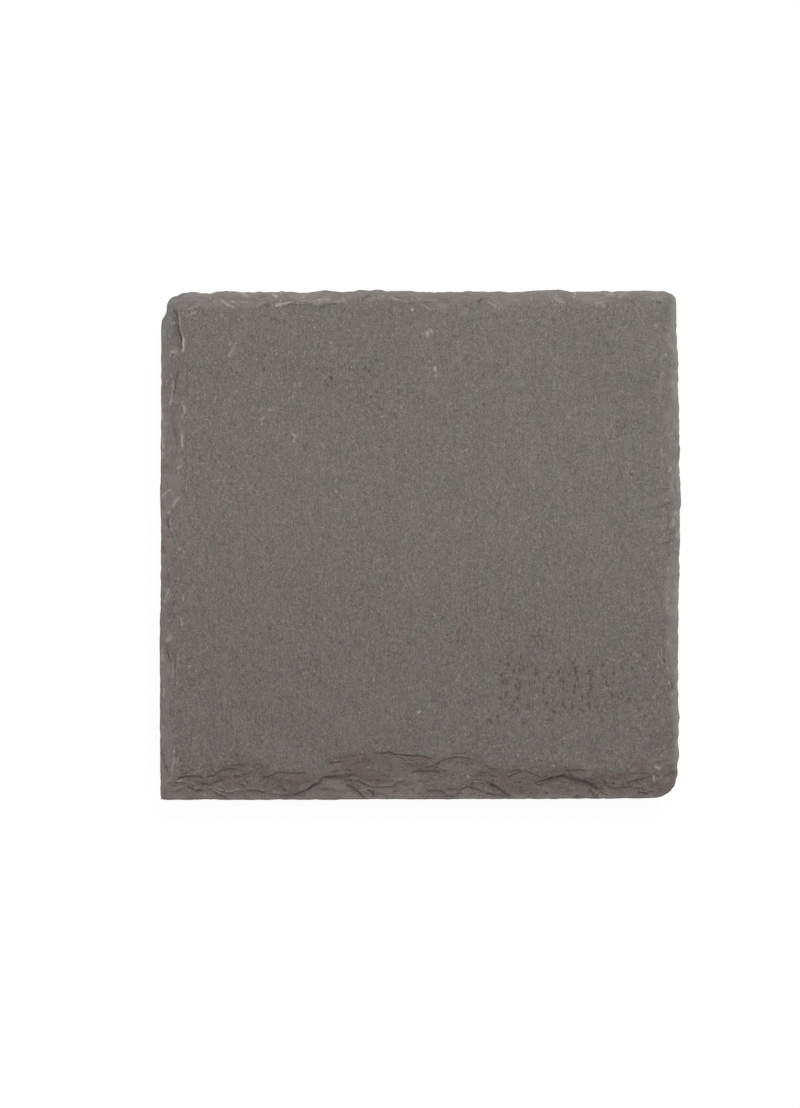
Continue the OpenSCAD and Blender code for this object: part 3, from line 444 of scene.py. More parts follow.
# %% Chips, bruises, soft tones, painted highlights and painted shade
CHIPS_AND_SHADE = [
    (0.55, 1.2, [(426, 334), (428, 332), (427.5, 336)]), (0.55, 1.1, [(431, 333), (430, 330.5)]),
    (0.8, 1.3, [(412, 310)]), (0.8, 0.9, [(435.3, 368), (436, 371.5)]),
    (0.35, 0.8, [(436, 372), (436, 377)]), (0.5, 0.9, [(295, 434.5), (295.5, 438)]),
    (0.4, 0.8, [(292.5, 433), (294, 436)]), (0.45, 0.9, [(294.5, 439), (293, 442)]),
    (0.6, 1.0, [(262.4, 424)]), (0.45, 1.1, [(262, 420), (264.5, 417.5)]),
    (0.35, 0.9, [(268, 410), (274, 409.6)]), (0.3, 1.0, [(260, 410.5)]), (0.5, 1.0, [(230.3, 344.6)]),
    (0.35, 1.6, [(230.6, 352), (230.4, 356)]), (0.25, 1.2, [(236, 344), (233, 350)]),
    (0.3, 1.1, [(216, 397), (214, 403)]), (0.3, 0.9, [(300.5, 383), (300, 387)]),
    (0.25, 1, [(296, 384), (294.5, 388)]), (0.45, 0.8, [(324, 446)]), (0.4, 0.8, [(229, 466)]),
    (0.4, 0.8, [(353, 478)]), (0.4, 0.8, [(336, 491)]), (0.4, 0.8, [(461, 522)]), (0.35, 0.8, [(480, 545)]),
    (0.35, 0.8, [(519, 570)]), (0.6, 0.9, [(418, 712), (420, 710.6)]), (0.7, 1.2, [(603, 306)]),
    (0.4, 1.6, [(655, 325)]), (0.6, 1.1, [(665.4, 355)]), (0.2, 1, [(661, 355), (661, 363)]),
    (0.5, 0.9, [(658, 667)]), (0.3, 1.8, [(637, 655)]), (0.3, 0.9, [(660, 650), (662, 657)]),
    (0.35, 1.5, [(654, 697)]), (0.7, 1.1, [(655, 766), (659, 768)]), (0.5, 1.0, [(661, 755)]),
    (0.9, 1.0, [(653.4, 776.5), (654, 780)]), (0.95, 1.1, [(462, 772)]), (1.0, 1.0, [(467.6, 776.5)]),
    (0.7, 0.9, [(553, 766)]), (0.6, 1.0, [(628.5, 766)]),
    (0.35, 0.8, [(274, 792), (281, 793.8), (288, 793.6), (292, 792)]),
    (0.5, 0.9, [(262, 790.3), (265, 790.8)]), (0.12, 7, [(312, 793), (322, 790), (334, 787)]),
    (-0.06, 9, [(366, 768), (376, 776), (388, 783)]),
    (-0.6, 2.3, [(571, 778.5), (577, 780.5), (583, 781.5), (589, 784), (596, 787.5)]),
    (-0.45, 2.2, [(548, 779), (556, 778), (564, 777.5), (570, 778)]),
    (-0.18, 2.0, [(270, 795.5), (280, 796.5), (292, 796.5)]),
    (-0.15, 2.0, [(304, 791), (312, 788), (319, 784)]),
    (-0.15, 2.0, [(611, 787.5), (618, 788), (626, 787)]),
    (-0.2, 1.6, [(179, 779), (190, 777.8), (200, 778)]),
    (-0.15, 1.8, [(446, 760.5), (456, 758.5), (466, 758.8)]), (-0.3, 0.9, [(176.5, 782.5), (180, 782.8)]),
    (0.3, 0.9, [(565, 648)]), (0.3, 0.8, [(619, 660)]), (0.35, 0.9, [(647, 413)]),
    (0.35, 0.9, [(672, 434)]), (0.35, 0.9, [(661, 450), (662, 457)]), (0.4, 0.9, [(661, 481)]),
    (0.35, 0.9, [(661, 486)]), (0.6, 1.0, [(667, 500.5)]), (0.4, 0.8, [(666.5, 494)]),
    (-0.25, 2.2, [(660.5, 507.5), (664, 505), (667.5, 502.5)]), (0.45, 0.9, [(668, 472), (670, 468)]),
    (0.5, 1.5, [(672.6, 520), (672.4, 525)]), (0.3, 2, [(675, 513)]),
    (0.15, 1, [(663, 372), (660, 382), (659, 392)]), (0.35, 0.9, [(654, 600)]),
    (0.7, 1.3, [(273, 295), (276.5, 296.5)]), (0.45, 1.4, [(281, 293.5)]),
    (0.5, 1.4, [(243, 293.5), (246.5, 296)]), (0.5, 1.1, [(574.5, 292.5), (574, 297)]),
    (0.6, 1.0, [(276.5, 306), (282, 305), (287, 303), (291, 302)]),
    (0.4, 1.0, [(318, 300), (324, 299.5), (330, 300.5)]),
    (0.2, 1.0, [(300, 301), (320, 302.5), (345, 301.5)]), (-0.5, 1.6, [(479, 303.5), (481.5, 300)]),
    (-0.5, 1.6, [(364, 300.5), (366, 299), (367.5, 296.5)]), (-0.45, 1.3, [(533.5, 301)]),
    (0.4, 1.2, [(625, 293.5)]), (0.35, 1.8, [(606, 294.5), (612, 294)]),
    (0.25, 1.4, [(618, 296), (622, 294.5)]), (0.3, 0.9, [(222, 315), (227, 319)]),
    (0.3, 1, [(556, 294), (557.5, 298), (560.5, 300.5)]),
    (1.0, 1.1, [(183.3, 339), (184.2, 346), (183.8, 351)]),
    (0.5, 0.9, [(179, 316.5), (179.5, 322), (180, 329), (182, 335), (183.3, 340)]),
    (0.45, 1.2, [(172, 352.5), (176.5, 351.7)]), (0.4, 1.2, [(171, 355.5)]), (0.4, 1.1, [(174.5, 357)]),
    (0.4, 1.0, [(174, 382), (173.5, 390), (172.4, 399)]), (0.55, 1.1, [(172, 401), (171.3, 404)]),
    (0.45, 0.9, [(176.3, 401.8)]), (0.5, 1.0, [(183.3, 401.7)]), (0.5, 1.1, [(184, 406), (185, 412)]),
    (0.35, 1.0, [(183, 414), (183.4, 418)]), (0.4, 1.6, [(163, 414), (163.6, 420)]),
    (0.8, 0.9, [(182.2, 434), (182.5, 440), (183.4, 446)]), (0.45, 1.3, [(162.6, 440), (163, 447)]),
    (0.4, 1.3, [(163, 453), (163, 458)]), (0.3, 1.0, [(179, 452)]), (0.4, 1.2, [(178, 469), (181, 467)]),
    (-0.25, 1.2, [(186.5, 468), (187, 478)]), (0.5, 0.8, [(163.5, 495.2), (171, 490)]),
    (0.45, 1.3, [(173.5, 506), (175, 503), (178, 499)]), (0.55, 1.3, [(169, 513)]),
    (0.4, 0.9, [(170, 519.5), (171.2, 524)]), (0.5, 1.4, [(180.3, 549.5)]), (0.3, 0.9, [(184, 552)]),
    (0.3, 0.9, [(182, 557)]), (0.3, 1.2, [(164, 556)]), (0.42, 1.4, [(169.5, 589), (166.5, 597)]),
    (0.5, 1.1, [(164.5, 601)]), (0.4, 1.1, [(184, 595), (184, 600)]),
    (0.4, 1.0, [(182.6, 619), (182.8, 625)]), (0.3, 2.0, [(168, 640), (171, 636.5)]),
    (0.3, 1.5, [(163, 650), (163, 661)]), (0.25, 1.1, [(173, 664), (173.2, 676)]),
    (0.35, 1.1, [(164.5, 689), (163.8, 695)]), (0.3, 1.0, [(185, 657)]), (0.3, 1.2, [(163, 725)]),
    (0.3, 1.2, [(174.5, 758), (172, 770)]), (0.6, 1.0, [(179, 780), (182, 779.6)]),
    (-0.36, 3.2, [(174.8, 312), (175.6, 320), (176.6, 328), (178.4, 335), (180, 341), (180.8, 347)]),
    (-0.5, 1.2, [(178, 325), (179.3, 332), (181.6, 339), (182.3, 344)]),
    (-0.3, 1.2, [(176.7, 372), (177, 382), (176, 392)]),
    (-0.3, 1.3, [(171.5, 416), (174, 426), (176, 436), (177.2, 445)]),
    (-0.25, 0.9, [(164, 461), (168, 468), (173, 474)]), (-0.55, 1.6, [(168.8, 521), (169, 527)]),
    (-0.35, 1.1, [(163.7, 533), (164, 543), (164.5, 552)]), (-0.5, 1.2, [(169.3, 575), (169.6, 581)]),
    (-0.45, 1.1, [(170, 614), (170.3, 617)]), (-0.3, 0.9, [(174, 604)]), (-0.3, 0.8, [(180, 622)]),
    (-0.3, 0.8, [(181, 626), (185, 634)]), (-0.25, 1.1, [(168, 649), (170, 659)]),
    (-0.3, 1.1, [(165, 686)]), (-0.6, 1.2, [(173.8, 731)]), (-0.4, 1.1, [(174, 741), (174, 744)]),
    (0.45, 1.0, [(181.5, 763)]), (-0.25, 1.0, [(178, 749), (177.5, 754)]),
    (-0.3, 1.0, [(161.5, 752), (164.5, 762), (168, 772)]), (-0.3, 1.0, [(189, 305.5), (195, 303)]),
    (-0.2, 0.9, [(424, 299), (434, 298.5), (446, 299.5)]),
    (-0.4, 1.2, [(590, 790), (592, 793.5), (594.5, 797)]), (0.3, 1.8, [(597, 793), (599, 795)]),
    (-0.25, 1.0, [(168, 427), (168.5, 435)]), (-0.3, 1.2, [(286, 306), (291, 304.6)]),
    (-0.3, 1.1, [(319, 309), (327, 305)]), (-0.3, 1.6, [(664, 490), (667, 488)]),
]
TONES_AND_PAINTED_LIGHT = [
    (0.1, 9, [(166, 791), (185, 792), (208, 794)]),
    (0.1, 7, [(348, 788), (365, 789), (395, 790), (415, 790)]), (0.07, 5, [(342, 794), (358, 795)]),
    (0.07, 6, [(608, 788), (630, 790), (650, 790)]), (0.03, 5, [(548, 792), (575, 793), (602, 793)]),
    (-0.06, 6, [(348, 762), (365, 761), (400, 763), (418, 763)]),
    (0.03, 6, [(303, 790), (320, 786), (342, 780)]), (-0.03, 7, [(425, 770), (450, 774), (478, 776)]),
    (-0.03, 5, [(485, 764), (515, 765), (540, 766)]),
    (-0.06, 6, [(548, 769), (565, 772), (585, 780), (602, 785)]),
    (-0.04, 7, [(180, 768), (195, 768), (213, 767)]), (-0.04, 4, [(176, 781), (190, 782), (206, 783)]),
    (-0.07, 5, [(171, 335), (172, 365), (172, 398)]), (-0.05, 6, [(174, 402), (177, 435), (180, 466)]),
    (0.04, 5, [(181, 478), (182, 505), (181, 536)]),
    (0.05, 2.5, [(163, 335), (163, 400), (163, 470), (163, 535)]), (0.04, 5, [(662, 545), (663, 605)]),
    (0.03, 6, [(666, 335), (668, 395)]), (0.03, 4, [(662, 405), (662, 460), (663, 530)]),
    (0.06, 3, [(188, 294.5), (215, 295), (250, 294.5), (285, 294.5), (318, 294.5)]),
    (0.045, 4, [(535, 304.5), (570, 305.5), (600, 305), (655, 306)]),
    (0.03, 4, [(463, 307), (500, 309), (528, 309)]), (-0.04, 3, [(608, 296), (652, 296)]),
    (0.014, 55, [(215, 480), (270, 480), (330, 475)]), (0.016, 55, [(540, 450), (590, 480), (635, 530)]),
    (0.012, 40, [(430, 520), (480, 520)]), (-0.018, 26, [(300, 370), (345, 378), (372, 395)]),
    (-0.012, 35, [(480, 600), (540, 640)]), (-0.01, 25, [(325, 608), (352, 605)]),
    (0.012, 22, [(440, 328), (480, 329), (520, 330)]), (0.018, 16, [(645, 322), (648, 350)]),
]
print("chips and bruises:", len(CHIPS_AND_SHADE), "soft tones:", len(TONES_AND_PAINTED_LIGHT))

# %% [markdown]
# ## Noise for stone
#
# Nothing on broken stone is straight or smooth. A lattice of random numbers from a fixed seed, joined by
# smooth steps, gives a wobble of a chosen size that is the same in every run. The cell can be longer one
# way than the other, which the grain of the cleft face needs.

# %% Lattice noise
LATTICE = 256


def mix(a, b, share):
    """A value between two values, or past them."""
    return a + (b - a) * share


def smooth(share):
    """A share from 0 to 1 that starts and stops gently."""
    return share * share * (3 - 2 * share)


def wobble(x, y, cell_x, cell_y, seed):
    """Noise from -1 to 1 at the places x, y, which changes over about one cell."""
    table = np.random.default_rng(seed).uniform(-1, 1, (LATTICE, LATTICE))
    col, row = np.floor(x / cell_x).astype(int), np.floor(y / cell_y).astype(int)
    right, up = smooth(x / cell_x - col), smooth(y / cell_y - row)
    corner = [table[(row + i) % LATTICE, (col + j) % LATTICE] for i in (0, 1) for j in (0, 1)]
    return mix(mix(corner[0], corner[1], right), mix(corner[2], corner[3], right), up)


def rough(x, y, cell, seed, sizes=3):
    """Several sizes of wobble, each half as wide and half as strong as the one before."""
    return sum(wobble(x, y, cell / 2**k, cell / 2**k, seed + k) / 2**k for k in range(sizes))


print("wobble over one cell:", np.round(wobble(np.linspace(0, 1, 5), np.zeros(5), 1, 1, seed=0), 2).tolist())

# %% [markdown]
# ## A sheet over the slab
#
# The top of the slab is one sheet of points with a height each. It starts as an even lattice that is
# stretched between opposite outlines. A cell on broken stone or round a mark is then cut in four, and cells
# still closer to a drawn line, a pit or a chip are cut twice more, so the points go where there is
# something to see. Blender's bmesh does the cutting, and keeps the sheet whole where large cells meet small
# ones.

# %% Outlines of the sheet
JAG_LENGTH = 1.6

x_low, y_low, x_high, y_high = (side / MM for side in (*slab_low.xy, *slab_high.xy))


def table_at(points, share):
    """The lengths in a list of points, read at each share of the way along."""
    return np.interp(share, [point[0] for point in points], [point[1] for point in points])


def bite(name, share):
    """How far the outline of a side lies in from the slab's box, at shares of the way along the side."""
    bites, _, _, _, ragged = SIDES[name]
    jags = ragged * rough(share * slab_w, share * 0, JAG_LENGTH, seed=list(SIDES).index(name), sizes=4)
    return np.clip(table_at(bites, share) + jags, 0, None)


def place_on_slab(s, t):
    """Millimetres from the middle of the slab, for shares of the way across and along the sheet."""
    x = mix(x_low + bite("left", t), x_high - bite("right", t), s)
    y = mix(y_low + bite("front", s), y_high - bite("back", s), t)
    return x, y


def in_from(name, s, t):
    """The share of the way along a side, and the distance in from its outline, for points of the sheet."""
    x, y = place_on_slab(s, t)
    share = s if name in ("front", "back") else t
    gap = {"front": y - y_low, "right": x_high - x, "back": y_high - y, "left": x - x_low}[name]
    return share, gap - bite(name, share)


print("deepest bites, mm:", {name: max(length for _, length in side[0]) for name, side in SIDES.items()})

# %% Drawn lines
LINE_STEP = 0.12
FEWEST_STEPS = 8
EASINGS = 4
SHAKE, SHAKE_CELL = 0.15, 1.5
QUIVER, QUIVER_CELL = 0.05, 0.3


def picture_place(px, py):
    """Millimetres from the middle of the slab, for a pixel of the photograph."""
    return (px - middle_px[0]) * pixel, (middle_px[1] - py) * pixel


def drawn_line(points):
    """A smooth line through points of the photograph, as closely spaced places in millimetres."""
    knots = np.array([picture_place(*point) for point in points])
    lengths = np.concatenate([[0], np.cumsum(np.linalg.norm(np.diff(knots, axis=0), axis=1))])
    steps = np.linspace(0, lengths[-1], max(int(lengths[-1] / LINE_STEP), FEWEST_STEPS))
    line = np.stack([np.interp(steps, lengths, knots[:, k]) for k in (0, 1)], 1)
    for _ in range(EASINGS):
        line[1:-1] = (line[:-2] + 2 * line[1:-1] + line[2:]) / 4
    return line


def shake(x, y, seed):
    """A slow move and a quick quiver, in millimetres."""
    slow = SHAKE * rough(x, y, SHAKE_CELL, seed, sizes=4)
    return slow + QUIVER * wobble(x, y, QUIVER_CELL, QUIVER_CELL, seed + 4)


def shaken(x, y):
    """Places moved a little by noise, so nothing that is looked up there comes out straight."""
    return x + shake(x, y, seed=21), y + shake(x, y, seed=31)


flake_lines = [drawn_line(points) for _, _, _, points in FLAKES]
chip_and_shade_lines = [drawn_line(points) for _, _, points in CHIPS_AND_SHADE]
pit_places = np.array([picture_place(px, py) for px, py, _, _ in PITS + FAINT_PITS])
marked_places = np.concatenate([*flake_lines, *chip_and_shade_lines, pit_places])
marked = KDTree(len(marked_places))
for k, (x, y) in enumerate(marked_places):
    marked.insert((x, y, 0), k)
marked.balance()
print("length of the flakes, mm:", round(sum(len(line) for line in flake_lines) * LINE_STEP))

# %% Cut the sheet
CELL = 0.68
NEAR_MARK = 0.32

columns, rows = round(slab_w / CELL), round(slab_d / CELL)
sheet = bmesh.new()
lattice = [[sheet.verts.new((i, j, 0)) for i in range(columns + 1)] for j in range(rows + 1)]
for lower, upper in zip(lattice, lattice[1:]):
    for i in range(columns):
        sheet.faces.new((lower[i], lower[i + 1], upper[i + 1], upper[i]))


def near_mark(s, t, reach):
    """Whether each place of the sheet has a drawn line, a pit or a chip within reach."""
    places = zip(*shaken(*place_on_slab(s, t)))
    return np.array([marked.find((x, y, 0))[2] < reach for x, y in places])


def on_broken_stone(s, t):
    """Whether each place of the sheet lies on the slope of a side."""
    sides = [(side[1], *in_from(name, s, t)) for name, side in SIDES.items()]
    return np.any([inside < table_at(reach, share) for reach, share, inside in sides], 0)


def cut_in_four(wanted):
    """Cuts each cell of the sheet whose middle passes a test."""
    middles = np.array([face.calc_center_median()[:2] for face in sheet.faces]) / (columns, rows)
    chosen = [face for face, cut in zip(sheet.faces, wanted(*middles.T)) if cut]
    edges = list(dict.fromkeys(edge for face in chosen for edge in face.edges))
    bmesh.ops.subdivide_edges(sheet, edges=edges, cuts=1, use_grid_fill=True)


cut_in_four(lambda s, t: on_broken_stone(s, t) | near_mark(s, t, 2 * NEAR_MARK))
cut_in_four(lambda s, t: near_mark(s, t, NEAR_MARK))
cut_in_four(lambda s, t: near_mark(s, t, NEAR_MARK / 2))
sheet.verts.index_update()
across, along = np.array([vert.co[:2] for vert in sheet.verts]).T
top_faces = [[vert.index for vert in face.verts] for face in sheet.faces]
sheet.free()
S, T = across / columns, along / rows
X, Y = place_on_slab(S, T)
print("points of the sheet:", len(X), "cells:", len(top_faces))

# %% [markdown]
# ## Slopes
#
# The depth below the face comes first from the slope of each side, which starts gently and rolls over at
# the rim. Noise makes it uneven. Where two sides meet at a corner, the deeper one wins, which leaves an
# edge there. The break of each side is paled, partly as bruising and, on the right side, partly as painted
# light. The rim is paler in patches, and both are kept as marks for the colour.

# %% Slopes of the sides
ROLL = 0.3
BLEND = 1.1
SLOPE_POWER = 1.25
UNEVEN, UNEVEN_CELL = 0.22, 6
FRAY, FRAY_CELL = 0.5, 2.4
# Paleness of each side's break: partly bruising, and the right side's fuller share is painted light.
PALENESS = {"front": 0, "right": 1, "back": 0.62, "left": 0.62}
PALE_RIM = {"front": 0.2, "right": 0.3, "back": 0.05, "left": 0.12}
RIM_WIDTH = {"front": 0.85, "right": 0.6, "back": 0.6, "left": 0.6}


def varied(middle, waves, low, high):
    """A strength that varies over the stone: a middle, and waves of a height, a cell in mm and a seed."""
    total = middle
    for height, cell, seed in waves:
        total = total + height * wobble(X, Y, cell, cell, seed)
    return np.clip(total, low, high)


def bell(away, width):
    """1 at no distance, fading over a width."""
    return np.exp(-((away / width) ** 2))


shaken_x, shaken_y = shaken(X, Y)
uneven = 1 + UNEVEN * rough(X, Y, UNEVEN_CELL, seed=41)
frayed = FRAY * rough(X, Y, FRAY_CELL, seed=51)
patchy = varied(1.2, [(1, 2, 52)], 0, 2)
depth, fresh, bruise, arris = (np.zeros_like(X) for _ in range(4))
for name, (_, reaches, fall, roll, _) in SIDES.items():
    share, inside = in_from(name, S, T)
    reach = table_at(reaches, share) + frayed
    slope = np.clip(1 - inside / reach, 0, 1) ** SLOPE_POWER
    rolled = np.clip(1 - inside / ROLL, 0, 1) ** 2
    broken = smooth(np.clip((reach - inside) / BLEND, 0, 1))
    bruise = np.where(broken > fresh, PALENESS[name], bruise)
    depth = np.maximum(depth, fall * slope * uneven + roll * rolled)
    fresh = np.maximum(fresh, broken)
    arris = np.maximum(arris, PALE_RIM[name] * patchy * bell(inside, RIM_WIDTH[name]))
print("broken share of the top:", round(float(fresh.mean()), 3))

# %% [markdown]
# ## Steps of the flakes
#
# Every point near a flake's line learns how far it lies from the line and on which hand. On the right hand
# the stone drops by the flake's thickness, and further out it comes back to the slope. The light comes from
# behind, so a step that faces the front is set back a little, to bring its shadow onto the drawn line. Along
# each step, painted shade darkens the crevice, and a pale edge is painted above it, partly as a bruise of
# the fresh break and partly as a painted highlight. Both are kept as marks for the colour, and noise weakens
# them in places.

# %% Carve the flakes
RISER = 0.1
RISER_SPREAD = 0.5
FLAKE_REST = 2.4
TAPER = 0.2
NEAR = 6
SHADOW_AT = 0.15
LINE_OUT, LINE_WIDTH = 0.05, 0.11
SOFT_OUT, SOFT_WIDER = 0.15, 0.15
SOFT_SHARE, SHARP_TAKES = 0.6, 0.35
EDGE_BACK, EDGE_WIDTH = 0.1, 0.11

crevice = np.zeros_like(X)
mark_strength = varied(0.85, [(0.9, 1.5, 81), (0.45, 0.45, 82)], 0.05, 1.4)
sharp = varied(0.6, [(0.9, 3, 84)], 0.15, 1)
slack = varied(1, [(1.4, 2.6, 83)], 0, 2)


def points_near(line, reach):
    """The points of the sheet round a line, the nearest place on it for each, and their steps from there."""
    low, high = line.min(0) - reach, line.max(0) + reach
    near = (shaken_x > low[0]) & (shaken_x < high[0]) & (shaken_y > low[1]) & (shaken_y < high[1])
    place = np.stack([shaken_x[near], shaken_y[near]], 1)
    nearest = ((place[:, None] - line[None]) ** 2).sum(-1).argmin(1)
    return near, nearest, place - line[nearest]


for (drop, dark, pale, _), line in zip(FLAKES, flake_lines):
    near, nearest, step_out = points_near(line, NEAR)
    travel = np.gradient(line, axis=0)
    hand = np.stack([travel[:, 1], -travel[:, 0]], 1) / np.linalg.norm(travel, axis=1)[:, None]
    away_from_light = np.clip(1 - hand[nearest, 1], 0, 1)
    offset = (step_out * hand[nearest]).sum(1) + SHADOW_AT * away_from_light
    end = np.minimum(nearest, len(line) - 1 - nearest) / (len(line) - 1)
    strength = smooth(np.clip(end / TAPER, 0, 1))
    riser = RISER + RISER_SPREAD * drop * slack[near]
    step = np.clip(offset / riser + 0.5, 0, 1) * np.exp(-np.clip(offset, 0, None) / FLAKE_REST)
    depth[near] += drop * strength * step
    # Painted shade: a sharp dark line and a softer dark spread in the crevice below the step.
    line_shadow = sharp[near] * bell(offset - LINE_OUT, LINE_WIDTH)
    soft_shadow = (SOFT_SHARE - SHARP_TAKES * sharp[near]) * bell(offset - SOFT_OUT, riser + SOFT_WIDER)
    crevice[near] = np.maximum(crevice[near], dark * strength * mark_strength[near] * (line_shadow + soft_shadow))
    # A pale edge along the top of the step, partly a bruise and partly a painted highlight.
    edge = bell(offset + riser / 2 + EDGE_BACK, EDGE_WIDTH)
    arris[near] = np.maximum(arris[near], pale * strength * mark_strength[near] * edge)
print("points in a crevice:", int((crevice > 0.3).sum()), "on a pale edge:", int((arris > 0.3).sum()))

# %% [markdown]
# ## Relief between the flakes
#
# The slopes between the steps are a patchwork of low lenses, longer along X, and the cleft face has gentle
# waves that are longer along Y, its grain. Both are noise. The face keeps a thin skin of depth, so no point
# of it can rise above the solid that it stands for.

# %% Lenses and waves
# Each kind of lens: height, how much longer it is along X, its cell in millimetres, seed and sizes of noise
LENSES = [(0.12, 2.4, 2.2, 61, 3), (0.05, 4, 0.5, 65, 2), (0.035, 1, 0.7, 67, 2)]
LENS_FULL_AT = 0.6
# Each wave: height, its cells along X and Y in millimetres, and its seed
CLEFT_WAVES = [(0.05, 17, 31, 71), (0.02, 3.2, 9, 72), (0.015, 0.8, 2.2, 73)]
BROKEN_TAKES = 0.6
SKIN = 0.03
DEEPEST = 4.6

lens = sum(height * rough(X / longer, Y, cell, seed, sizes) for height, longer, cell, seed, sizes in LENSES)
lens *= fresh * np.clip(depth / LENS_FULL_AT, 0, 1)
cleft = SKIN + sum(height * (1 + wobble(X, Y, *cells, seed)) for height, *cells, seed in CLEFT_WAVES)
depth = np.clip(depth + lens + cleft * (1 - BROKEN_TAKES * fresh), SKIN, DEEPEST)
Z = slab_t - depth
print("deepest, mm:", round(float(depth.max()), 2), "front rim, mm:", round(float(Z[T == 0].mean()), 2))

# %% [markdown]
# ## Marks on the stone
#
# The pits, chips, tones and stains that were drawn now become numbers at each point of the sheet. A pit
# also lowers the stone a little, and a pale chip raises it. The rest only changes the colour, so it is
# stored on the points and read by the finish, which keeps every mark in its place from every side. The
# darkness of the pits and of the dark strokes is painted shade, and the pale strokes and the soft tones are
# partly painted light.

# %% Pit and chip the stone
PIT_ACROSS, PIT_ALONG = 0.88, 1.2
FAINT = 0.45
PIT_DEPTH, CHIP_HEIGHT = 0.1, 0.05
PIT_SHADE, PIT_POWER = 0.72, 1.3
CHIP_PALE = 1.3
FADE_REACH = 3
SEEN_TO_LIGHT = 2.2


def spotted(pits):
    """How strongly each point is covered by small ovals."""
    total = np.zeros_like(X)
    for px, py, half_w, half_h in pits:
        x, y = picture_place(px, py)
        from_x = (shaken_x - x) / (PIT_ACROSS * half_w * pixel)
        from_y = (shaken_y - y) / (PIT_ALONG * half_h * pixel)
        total = np.maximum(total, np.exp(-(from_x**2) - from_y**2))
    return total


def stroked(line, half_width):
    """The points round a stroke, and how strongly it covers each of them."""
    near, _, step_out = points_near(line, FADE_REACH * half_width * pixel)
    return near, np.exp(-(step_out**2).sum(1) / (half_width * pixel) ** 2)


pitted = np.maximum(spotted(PITS), FAINT * spotted(FAINT_PITS))
chips_and_shade = np.zeros_like(X)
for (pale, half_width, _), line in zip(CHIPS_AND_SHADE, chip_and_shade_lines):
    near, cover = stroked(line, half_width)
    mark = pale * cover
    chips_and_shade[near] = np.where(abs(mark) > abs(chips_and_shade[near]), mark, chips_and_shade[near])
# Soft tones: partly the stone's own tone and partly painted light and shade, such as the lighter lip of the
# front rim.
tone = np.zeros_like(X)
for lightness, half_width, points in TONES_AND_PAINTED_LIGHT:
    near, cover = stroked(drawn_line(points), half_width)
    tone[near] += SEEN_TO_LIGHT * lightness * cover
Z = np.minimum(Z - PIT_DEPTH * pitted + CHIP_HEIGHT * chips_and_shade, slab_t - SKIN)
# Painted shade darkens the pits and the strokes below zero, and the pale strokes are partly painted
# highlights.
crevice = np.maximum(crevice, np.maximum(PIT_SHADE * pitted**PIT_POWER, -chips_and_shade))
arris = np.maximum(arris, CHIP_PALE * chips_and_shade)
print("lightest tone:", round(float(tone.max()), 3), "darkest:", round(float(tone.min()), 3))

# %% Stain the stone
STAIN_FRAY = (5, 3)
STAIN_EDGE = 1.5
PATCH_FRAY = 1.5


def stained(stains):
    """How strongly each point is covered by large soft ovals with frayed edges."""
    total = np.zeros_like(X)
    for px, py, half_w, half_h, strength in stains:
        x, y = picture_place(px, py)
        from_x = mix(X, shaken_x, STAIN_FRAY[0]) - x
        from_y = mix(Y, shaken_y, STAIN_FRAY[1]) - y
        away = np.hypot(from_x / (half_w * pixel), from_y / (half_h * pixel))
        total = np.maximum(total, strength * smooth(np.clip(STAIN_EDGE - STAIN_EDGE * away, 0, 1)))
    return total


def patched(patches):
    """How strongly each point lies in a patch: a line out of it crosses the ring an odd number of times."""
    total = np.zeros_like(X)
    at_x, at_y = mix(X, shaken_x, PATCH_FRAY), mix(Y, shaken_y, PATCH_FRAY)
    for strength, points in patches:
        ring = [picture_place(*point) for point in points]
        inside = np.zeros(len(X), bool)
        for (x_a, y_a), (x_b, y_b) in zip(ring, ring[1:] + ring[:1]):
            if y_a != y_b:
                crosses = (at_y > min(y_a, y_b)) & (at_y <= max(y_a, y_b))
                inside ^= crosses & (at_x > mix(x_a, x_b, (at_y - y_a) / (y_b - y_a)))
        total = np.maximum(total, strength * inside)
    return total


purple = np.maximum(patched(PURPLE_PATCHES), stained(PURPLE_STAINS))
olive = stained(OLIVE_STAINS)
print("purple share:", round(float(purple.mean()), 4), "olive share:", round(float(olive.mean()), 4))

# %% [markdown]
# ## The wall and the underside
#
# Under the rim the slab has a broken wall, where the ends of thin laminae stand in and out of line. Each
# lamina is an upright strip, set in by its own noise, with a small ledge above or below it. The underside
# is another cleft face. It keeps every point of the wall's foot along its edge, but few points inside,
# where there is little to see.

# %% Wall of laminae
LAMINAE = 7
UNDERCUT = 0.5
LEDGE = 0.34
SNAP_RUN, SNAP_SWING = 3.4, 2.2
CRUMB, CRUMB_RUN, CRUMB_ROWS = 0.3, 1.1, 9
SNAP_SHARE = 0.7
FULLEST_AT = 0.85
SEAM_SWING, SEAM_RUN = 0.14, 4
SEAM = 0.02
LEDGE_SHADE, LEDGE_HIGHLIGHT = 0.6, 0.35
HALF_SPAN = 4

edges = [(T == 0, S), (S == 1, T), (T == 1, -S), (S == 0, -T)]
sides = [np.flatnonzero(here)[np.argsort(order[here])] for here, order in edges]
loop = np.concatenate([side[:-1] for side in sides])
rim = np.column_stack([X, Y, Z])[loop]
tangent = np.roll(rim, -HALF_SPAN, 0) - np.roll(rim, HALF_SPAN, 0)
inward = np.stack([-tangent[:, 1], tangent[:, 0]], 1)
inward /= np.linalg.norm(inward, axis=1)[:, None]
travelled = np.cumsum(np.linalg.norm(np.diff(rim[:, :2], axis=0, prepend=rim[-1:, :2]), axis=1))

